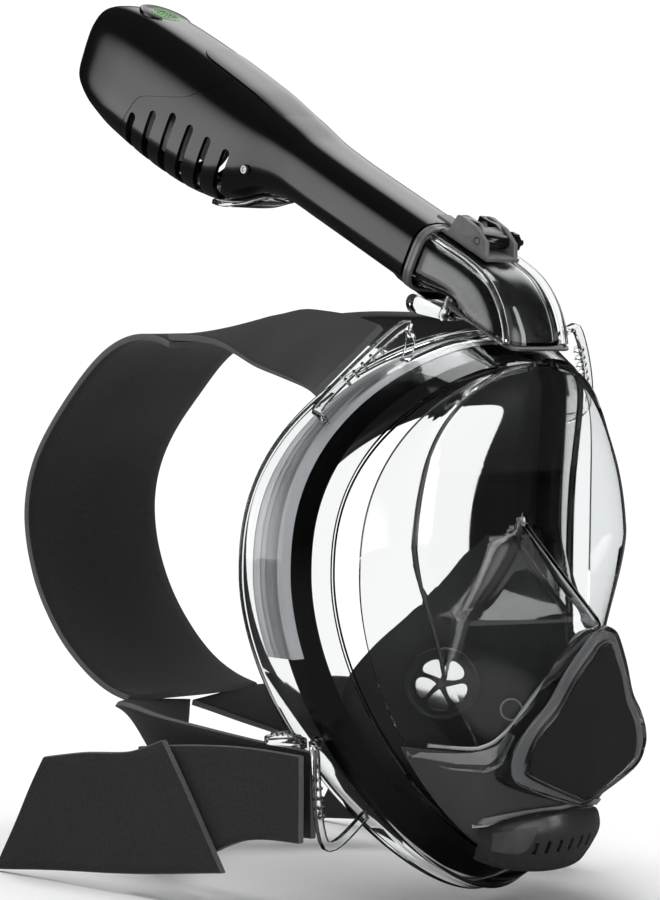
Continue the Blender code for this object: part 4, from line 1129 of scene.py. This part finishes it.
def make_elbow():
    """The clear air duct with its smoked inner duct, its ribs and the lever's two ears."""
    rows = list(zip(spline([(*front, 0) for front, _, _ in ELBOW], 6),
                    spline([(*back, 0) for _, back, _ in ELBOW], 6),
                    spline([(half, 0, 0) for _, _, half in ELBOW], 6)))

    def shell(name, finish, walls, first=0):
        outer, inner = [[elbow_station(f, b, h.x, wall) for f, b, h in rows[first:]]
                        for wall in walls]
        return loft(name, outer + inner[::-1], finish, closed=True)

    duct = shell("elbow_shell", "clear", (0.0, 2.2))
    finish_piece(duct, "mask", ("elbow_duct",), sharp=50.0)
    # the smoked inner duct starts a little below the snorkel's ring
    smoked = shell("elbow_liner", "liner", (2.7, 3.6), 2)
    finish_piece(smoked, "mask", sharp=50.0)
    for side, word in SIDES:
        path = []
        for f, b, h in rows[3:]:
            back = Vector((b.x - f.x, b.y - f.y)).normalized()
            path.append(Vector((side * (h.x - 0.9), f.x + back.x * 1.6, f.y + back.y * 1.6)))
        finish_piece(tube("elbow_rib_" + word, path, 1.5, "clear", 14), "mask")
    for side, word in SIDES:
        low, high = sorted((side * 7.0, side * 8.8))
        lug = rounded(prism("lever_ear_" + word, LEVER_EAR, side_place, low, high, "clear"), 0.35)
        finish_piece(lug, "mask")
    make_elbow_ends(*rows[-1][:2])
    make_lever()
    refined("lever_pin", "steel", 0.2, "mask")
    refined("mount_base", "mount", 0.45, "mask", 3)
    refined("camera_mount", "black", 0.35, "camera_mount", 3)
    make_thumb_screw()


def make_elbow_ends(front, back):
    """The grooved ring that takes the snorkel, and the gasket under the duct's lower end."""
    rings = []
    for s, grow in ((-7.0, 0.4), (-7.0, 1.6), (-6.6, 2.0), (-5.4, 2.0), (-5.1, 1.7), (-4.5, 1.7),
                    (-4.2, 2.0), (-3.0, 2.0), (-2.6, 1.6), (-2.6, 0.4)):
        rings.append(tube_ring(s, 18.0 + grow, -14.5 - grow * 0.9, 13.5 + grow * 0.9, 80, 4.0))
    collar = loft("elbow_ring", rings, "collar", closed=True)
    finish_piece(collar, "mask", ("elbow_collar",))
    span = Vector((0, front.x - back.x, front.y - back.y))
    length = span.length
    span.normalize()
    rings = []
    for drop, half_x, end in ((0.4, 14.5, -6.0), (0.4, 21.0, 1.6), (0.7, 21.5, 2.0),
                              (1.2, 21.5, 2.0), (1.5, 21.0, 1.6), (1.5, 14.5, -6.0)):
        foot = Vector((0, back.x, back.y - drop))
        rings.append(box_ring(half_x, -end, length + end, 6.0,
                              lambda x, v, p=foot: p + span * v + ACROSS * x))
    seat = loft("elbow_gasket", rings, "smoke", closed=True)
    finish_piece(seat, "mask", ("elbow_seat",))


def make_lever():
    """The release lever: a bar round its pivot and its grip, with three ribs under the grip."""
    pivot_s, pivot_n = LEVER_PIVOT
    grip_s, grip_n = LEVER_GRIP
    lean = math.atan2(grip_n - pivot_n, grip_s - pivot_s)
    outline = []
    for s, n, radius, start, steps in ((pivot_s, pivot_n, 2.2, lean + math.pi / 2, 16),
                                       (grip_s, grip_n, 4.1, lean - math.pi / 2, 24)):
        for k in range(steps + 1):
            angle = start + math.pi * k / steps
            outline.append((s + radius * math.cos(angle), n + radius * math.sin(angle)))
    lever = prism("latch_lever", outline, side_place, -6.2, 6.2, "clear")
    cut(lever, drill(1.3, 10, tube_point(0, pivot_s, pivot_n), ACROSS, "clear", 32))
    rounded(lever, 0.5, 3)
    finish_piece(lever, "release_lever", ("release_lever",))
    for k in (-1, 0, 1):
        rib = [tube_point(x, grip_s + 3.9, grip_n + 1.6 * k) for x in (-4.6, -2.0, 2.0, 4.6)]
        made = tube(f"lever_rib_{k + 2}", rib, 0.45, "milky", 10)
        finish_piece(made, "release_lever")


def make_thumb_screw():
    """The camera mount's screw, with eight grips round its knob."""
    centre = tube_point(0, *MOUNT_PIVOT)
    screw = lathe("thumb_knob", KNOB_PROFILE, centre, ACROSS, "black", 40)
    finish_piece(screw, "thumb_screw", ("thumb_screw",))
    turn = ACROSS.to_track_quat("Z", "Y")
    for k in range(8):
        angle = math.tau * k / 8
        out = Vector((4.2 * math.cos(angle), 4.2 * math.sin(angle), 0))
        grip = [centre + turn @ (out + Vector((0, 0, z))) for z in (11.5, 12.6, 13.7)]
        finish_piece(tube(f"knob_grip_{k + 1}", grip, 0.5, "black", 8), "thumb_screw")


# ---------------------------------------------------------------- dry-top parts
def make_dry_top():
    """What shows through the grille, the rear window with its pins, and the tube's seal."""
    refined("valve_deck", "grey", 0.3, "snorkel")
    for _, word in SIDES:
        refined("float_" + word, "milky", 0.8, "float_" + word, 3)
    for _, word in SIDES:
        refined("seal_pad_" + word, "silicone", 0.4, "float_" + word)
    refined("float_pin", "steel", 0.2, "snorkel")
    grid = []
    for k in range(25):
        s = 98.0 + 38.0 * k / 24
        end = min(1.0, (s - 97.4) / 4.0, (136.6 - s) / 4.0) ** 0.5
        back = along_table(HEAD_TABLE, s)[1]
        grid.append([tube_point(10.0 * end * t, s, back - 0.6)
                     for t in (-1, -0.8, -0.5, -0.2, 0.2, 0.5, 0.8, 1)])
    window = sheet("rear_window", grid, 2.2, "clear", bevel=0.5)
    finish_piece(window, "snorkel", ("float_cover",), sharp=50.0)
    half_x = along_table(HEAD_TABLE, STUD_S)[2]
    for side, word in SIDES:
        stud = lathe("cover_stud_" + word, STUD_PROFILE, (0, 0, 0), (side, 0, 0), "steel", 32)
        shift = tube_point(side * half_x, STUD_S, -11.5) * MM
        for vertex in stud.data.vertices:
            vertex.co += shift
        finish_piece(stud, "snorkel", ("cover_pin_" + word,))
    rings = [tube_ring(s, half_x, -14.2 + inset, 13.2 - inset, 80)
             for s, half_x, inset in ((-1.7, 15.6, 2.0), (-1.7, 17.4, 0.2), (-1.4, 17.6, 0.0),
                                      (-0.5, 17.6, 0.0), (-0.2, 17.4, 0.2), (-0.2, 15.6, 2.0))]
    seal = loft("seal_ring", rings, "silicone", closed=True)
    finish_piece(seal, "snorkel", ("tube_seal",))


def make_strap_lug(label, side, path):
    """One bowed bar on the rim for a strap, with five small ribs round its middle."""
    line = spline([(side * x, y, z) for x, y, z in path], 8)
    grid = []
    for k, point in enumerate(line):
        heading = line[min(k + 1, len(line) - 1)] - line[max(k - 1, 0)]
        inward = LUG_HEART - point
        inward -= heading * (inward.dot(heading) / heading.length_squared)
        inward.normalize()
        grid.append([point + inward * t for t in (-2.1, -1.7, 0.0, 1.7, 2.1)])
    finish_piece(sheet(label, grid, 2.2, "clear", bevel=0.5), "mask")
    first, last = Vector(path[1]), Vector(path[2])
    heading = (last - first).normalized()
    for k in range(5):
        point = first.lerp(last, 0.3 + 0.1 * k)
        ring = lathe(f"{label}_rib_{k + 1}", [(1.6, -0.7), (2.3, -0.5), (2.3, 0.5), (1.6, 0.7)],
                     (side * point.x, point.y, point.z), (side * heading.x, heading.y, heading.z),
                     "clear", 24)
        finish_piece(ring, "mask")


# ---------------------------------------------------------------- strap lugs and clips
def make_lugs():
    """Two strap lugs a side, and the ribbed clip under the lower loop."""
    for side, word in SIDES:
        make_strap_lug("lug_upper_" + word, side, UPPER_LUG)
        make_strap_lug("lug_lower_" + word, side, LOWER_LUG)
        low, high = sorted((side * 88.5, side * 93.0))
        clip = prism("clip_" + word, CLIP_OUTLINE, lambda y, z, x: Vector((x, y, z)), low, high,
                     "clear")
        finish_piece(rounded(clip, 0.4), "mask", ("strap_clip_" + word,))
        for k in range(5):
            y = -2.0 + 3.4 * k
            z = -52.2 + (0.4 if k in (1, 2) else 0)
            rib = [(side * x, y, z) for x in (88.9, 90.0, 91.5, 92.6)]
            made = tube(f"clip_{word}_rib_{k + 1}", rib, 0.8, "clear", 10)
            finish_piece(made, "mask")


# ---------------------------------------------------------------- harness
def strap(name, stations, replaced, steps=10, waver=0.5, seed=0.0):
    """A neoprene ribbon with rounded, lighter cut edges and a slight waver."""
    centres = spline([c for c, h in stations], steps)
    reaches = spline([h for c, h in stations], steps)
    half_round = ((1.0, 0.15), (1.0, 0.5), (1.0, 0.85))
    across = [-0.985 + 1.97 * k / 14 for k in range(15)]
    section = [(u, 1.0) for u in across] + [(u, v) for u, v in half_round[::-1]]
    section += [(u, 0.0) for u in across[::-1]] + [(-u, v) for u, v in half_round]
    rings = []
    for k, (centre, reach) in enumerate(zip(centres, reaches)):
        before, after = centres[max(k - 1, 0)], centres[min(k + 1, len(centres) - 1)]
        lift = (after - before).cross(reach).normalized()
        ring = []
        for u, v in section:
            flat = centre + reach * u
            ripple = noise.noise(flat * 0.03 + Vector((seed, 0, 0))) * waver
            ring.append(flat + lift * (STRAP_THICKNESS * v + ripple))
        rings.append(ring)
    made = loft(name, rings, "neoprene")
    made.data.materials.append(FINISH["foam"])
    size = len(section)
    for face in made.data.polygons:
        inside = {index % size for index in face.vertices}
        if len(face.vertices) > 4 or all(14 <= index <= 18 for index in inside) \
                or all(index >= 32 or index == 0 for index in inside):
            face.material_index = 1
    return finish_piece(made, "mask", (replaced,), sharp=70.0)


def mirrored(path, side):
    """Strap stations for one side, listed for the left."""
    ordered = [((side * c[0], c[1], c[2]), (side * h[0], h[1], h[2])) for c, h in path]
    return ordered if side > 0 else [(c, tuple(-v for v in h)) for c, h in ordered]


def make_harness():
    """The back panel on its arc, and four straps a side."""
    centre_y, centre_z = HUB_CENTRE
    stations = []
    for k in range(25):
        angle = math.radians(103 - 186 * k / 24)
        radius = HUB_RADIUS * (1.0 - (0.09 if angle > 0 else 0.025) * math.sin(2 * angle) ** 2)
        point = (0, centre_y + radius * math.cos(angle), centre_z + radius * math.sin(angle))
        stations.append((point, (HUB_HALF_WIDTH, 0, 0)))
    strap("back_panel", stations, "strap_panel", 4, 0.8)
    for side, word in SIDES:
        for label, node, path in (("arm_upper_", "upper_strap_", UPPER_STRAP),
                                  ("arm_lower_", "lower_strap_", LOWER_STRAP),
                                  ("arm_loop_", "lower_loop_", LOWER_LOOP),
                                  ("arm_tail_", "strap_tail_", STRAP_TAIL)):
            strap(label + word, mirrored(path, side), node + word, 12, 1.0, 7.0 + side)


# ---------------------------------------------------------------- CAD nodes
def dress_nodes():
    """Give every CAD node the finish of its record slot; the finishes have the slots' names."""
    slots = {part["node"]: part["material_slot"] for part in frame["record"]["subparts"]}
    for name, node in frame["nodes"].items():
        node.data.materials.clear()
        node.data.materials.append(FINISH[slots[name]])


# ---------------------------------------------------------------- floor, light and camera (m)
FLOOR_HALF = 3.0
FLOOR_GAP = 0.001               # between the floor and the lowest point of the mask
FLOOR_FADE = (0.22, 0.55)       # where the paper turns into plain white
WHITE_LEVEL = 1.05              # of the backdrop and of the floor's far part
FLOOR_IN_MIRRORS = 0.08
ROOM_LEVEL = 0.012              # the dark room seen in reflections
DOME_LEVEL = 0.45               # the backdrop as matt surfaces meet it
# heading, cosine at the edge, cosine at full brightness, brightness
ROOM_PATCHES = (((0.73, 0.33, 0.59), 0.88, 0.99, 1.6), ((-0.72, 0.66, -0.2), 0.84, 0.985, 2.4),
                ((-0.2, -0.9, 0.45), 0.90, 0.98, 0.5), ((0.18, -0.97, 0.0), 0.90, 0.985, 2.4))
# name, place, target, size, power, seen in reflections
SOFTBOXES = (("overhead", (0.0, 0.1, 2.2), (0, 0, 0), (1.5, 1.5), 42, False),
             ("key", (-0.9, -0.9, 1.5), (0, 0, 0.05), (0.9, 0.9), 3, False),
             ("right_strip", (0.9, -1.2, 0.5), (0, 0, 0), (0.25, 1.2), 3, True))
CAMERA_PLACE = (-0.9516, -0.8825, 0.112)
CAMERA_LOOK = (0.7067, 0.7067, -0.0349)
CAMERA_LENS = 117.0             # mm
CAMERA_SENSOR = 36.0            # mm


def bounced(tree, kind):
    """1 for rays that have met a reflecting ("Glossy") or matt ("Diffuse") surface, else 0."""
    path = add_node(tree, "LightPath")
    return add_node(tree, "Math", {0: path.outputs[kind + " Depth"], 1: 1.0},
                    operation="MINIMUM").outputs["Value"]


def mixed(tree, share, first, second):
    """The first shader, or the second by a share."""
    return add_node(tree, "MixShader", {"Fac": share, 1: first, 2: second}).outputs["Shader"]


def make_stage():
    """A paper floor that fades to the white of the backdrop and is dark in reflections."""
    half = FLOOR_HALF
    floor_mesh = bpy.data.meshes.new("floor")
    corners = [(-half, -half, 0), (half, -half, 0), (half, half, 0), (-half, half, 0)]
    floor_mesh.from_pydata(corners, [], [(0, 1, 2, 3)])
    floor = bpy.data.objects.new("floor", floor_mesh)
    floor.location.z = cad_box[0][2] - FLOOR_GAP
    bpy.context.scene.collection.objects.link(floor)
    paper = make_finish("floor_paper", (0.93, 0.93, 0.93), 0.9,
                   tint=(3.0, (0.925, 0.925, 0.925), (0.935, 0.935, 0.935)), Specular_IOR_Level=0.1)
    tree = paper.node_tree
    place = add_node(tree, "TexCoord")
    reach = add_node(tree, "VectorMath", {0: place.outputs["Object"]}, operation="LENGTH")
    fade = add_node(tree, "MapRange", {"From Min": FLOOR_FADE[0], "From Max": FLOOR_FADE[1],
                                       "Value": reach.outputs["Value"]},
                    interpolation_type="SMOOTHSTEP")
    glow = add_node(tree, "Emission", {"Strength": WHITE_LEVEL})
    shade = add_node(tree, "BsdfDiffuse", {"Color": (*[FLOOR_IN_MIRRORS] * 3, 1.0)})
    seen = mixed(tree, fade.outputs["Result"], tree.nodes["Principled BSDF"].outputs["BSDF"],
                 glow.outputs["Emission"])
    seen = mixed(tree, bounced(tree, "Glossy"), seen, shade.outputs["BSDF"])
    tree.links.new(seen, tree.nodes["Material Output"].inputs["Surface"])
    floor.data.materials.append(paper)


def room_level(tree):
    """Brightness of the room seen in reflections: dark, with soft bright patches."""
    place = add_node(tree, "TexCoord")
    level = None
    for heading, start, full, bright in ROOM_PATCHES:
        facing = add_node(tree, "VectorMath", {0: place.outputs["Generated"],
                                               1: Vector(heading).normalized()},
                          operation="DOT_PRODUCT")
        patch = add_node(tree, "MapRange", {"From Min": start, "From Max": full,
                                            "To Min": ROOM_LEVEL, "To Max": bright,
                                            "Value": facing.outputs["Value"]},
                         interpolation_type="SMOOTHSTEP").outputs["Result"]
        level = patch if level is None else add_node(
            tree, "Math", {0: level, 1: patch}, operation="MAXIMUM").outputs["Value"]
    return level


def make_light():
    """White behind everything, a dimmer dome on matt surfaces, a dark room in reflections."""
    world = bpy.data.worlds.new("studio")
    bpy.context.scene.world = world
    world.use_nodes = True
    tree = world.node_tree
    level = room_level(tree)
    backdrop = tree.nodes["Background"]
    backdrop.inputs["Color"].default_value = (1.0, 1.0, 1.0, 1.0)
    backdrop.inputs["Strength"].default_value = WHITE_LEVEL
    dome = add_node(tree, "Background", {"Strength": DOME_LEVEL})
    room = add_node(tree, "Background", {"Strength": level})
    seen = mixed(tree, bounced(tree, "Diffuse"), backdrop.outputs["Background"],
                 dome.outputs["Background"])
    seen = mixed(tree, bounced(tree, "Glossy"), seen, room.outputs["Background"])
    tree.links.new(seen, tree.nodes["World Output"].inputs["Surface"])
    bpy.context.scene.view_settings.view_transform = "Standard"
    for name, place, target, size, power, mirrored in SOFTBOXES:
        light = bpy.data.lights.new(name, "AREA")
        light.shape = "RECTANGLE"
        light.size, light.size_y = size
        light.energy = power
        lamp = bpy.data.objects.new(name, light)
        lamp.location = place
        aim = (Vector(target) - Vector(place)).to_track_quat("-Z", "Y")
        lamp.rotation_euler = aim.to_euler()
        lamp.visible_glossy = mirrored
        bpy.context.scene.collection.objects.link(lamp)


def make_camera():
    """The one camera, level with the mask and a little to the wearer's right."""
    data = bpy.data.cameras.new("camera")
    data.lens = CAMERA_LENS
    data.sensor_width = CAMERA_SENSOR
    camera = bpy.data.objects.new("camera", data)
    camera.location = CAMERA_PLACE
    camera.rotation_euler = Vector(CAMERA_LOOK).to_track_quat("-Z", "Y").to_euler()
    bpy.context.scene.collection.objects.link(camera)
    bpy.context.scene.camera = camera


dress_nodes()
make_lens()
make_jaw()
make_frame()
make_skirt()
make_pocket()
make_shield()
make_drain()
make_elbow()
make_dry_top()
make_lugs()
make_snorkel()
make_harness()
make_stage()
make_light()
make_camera()
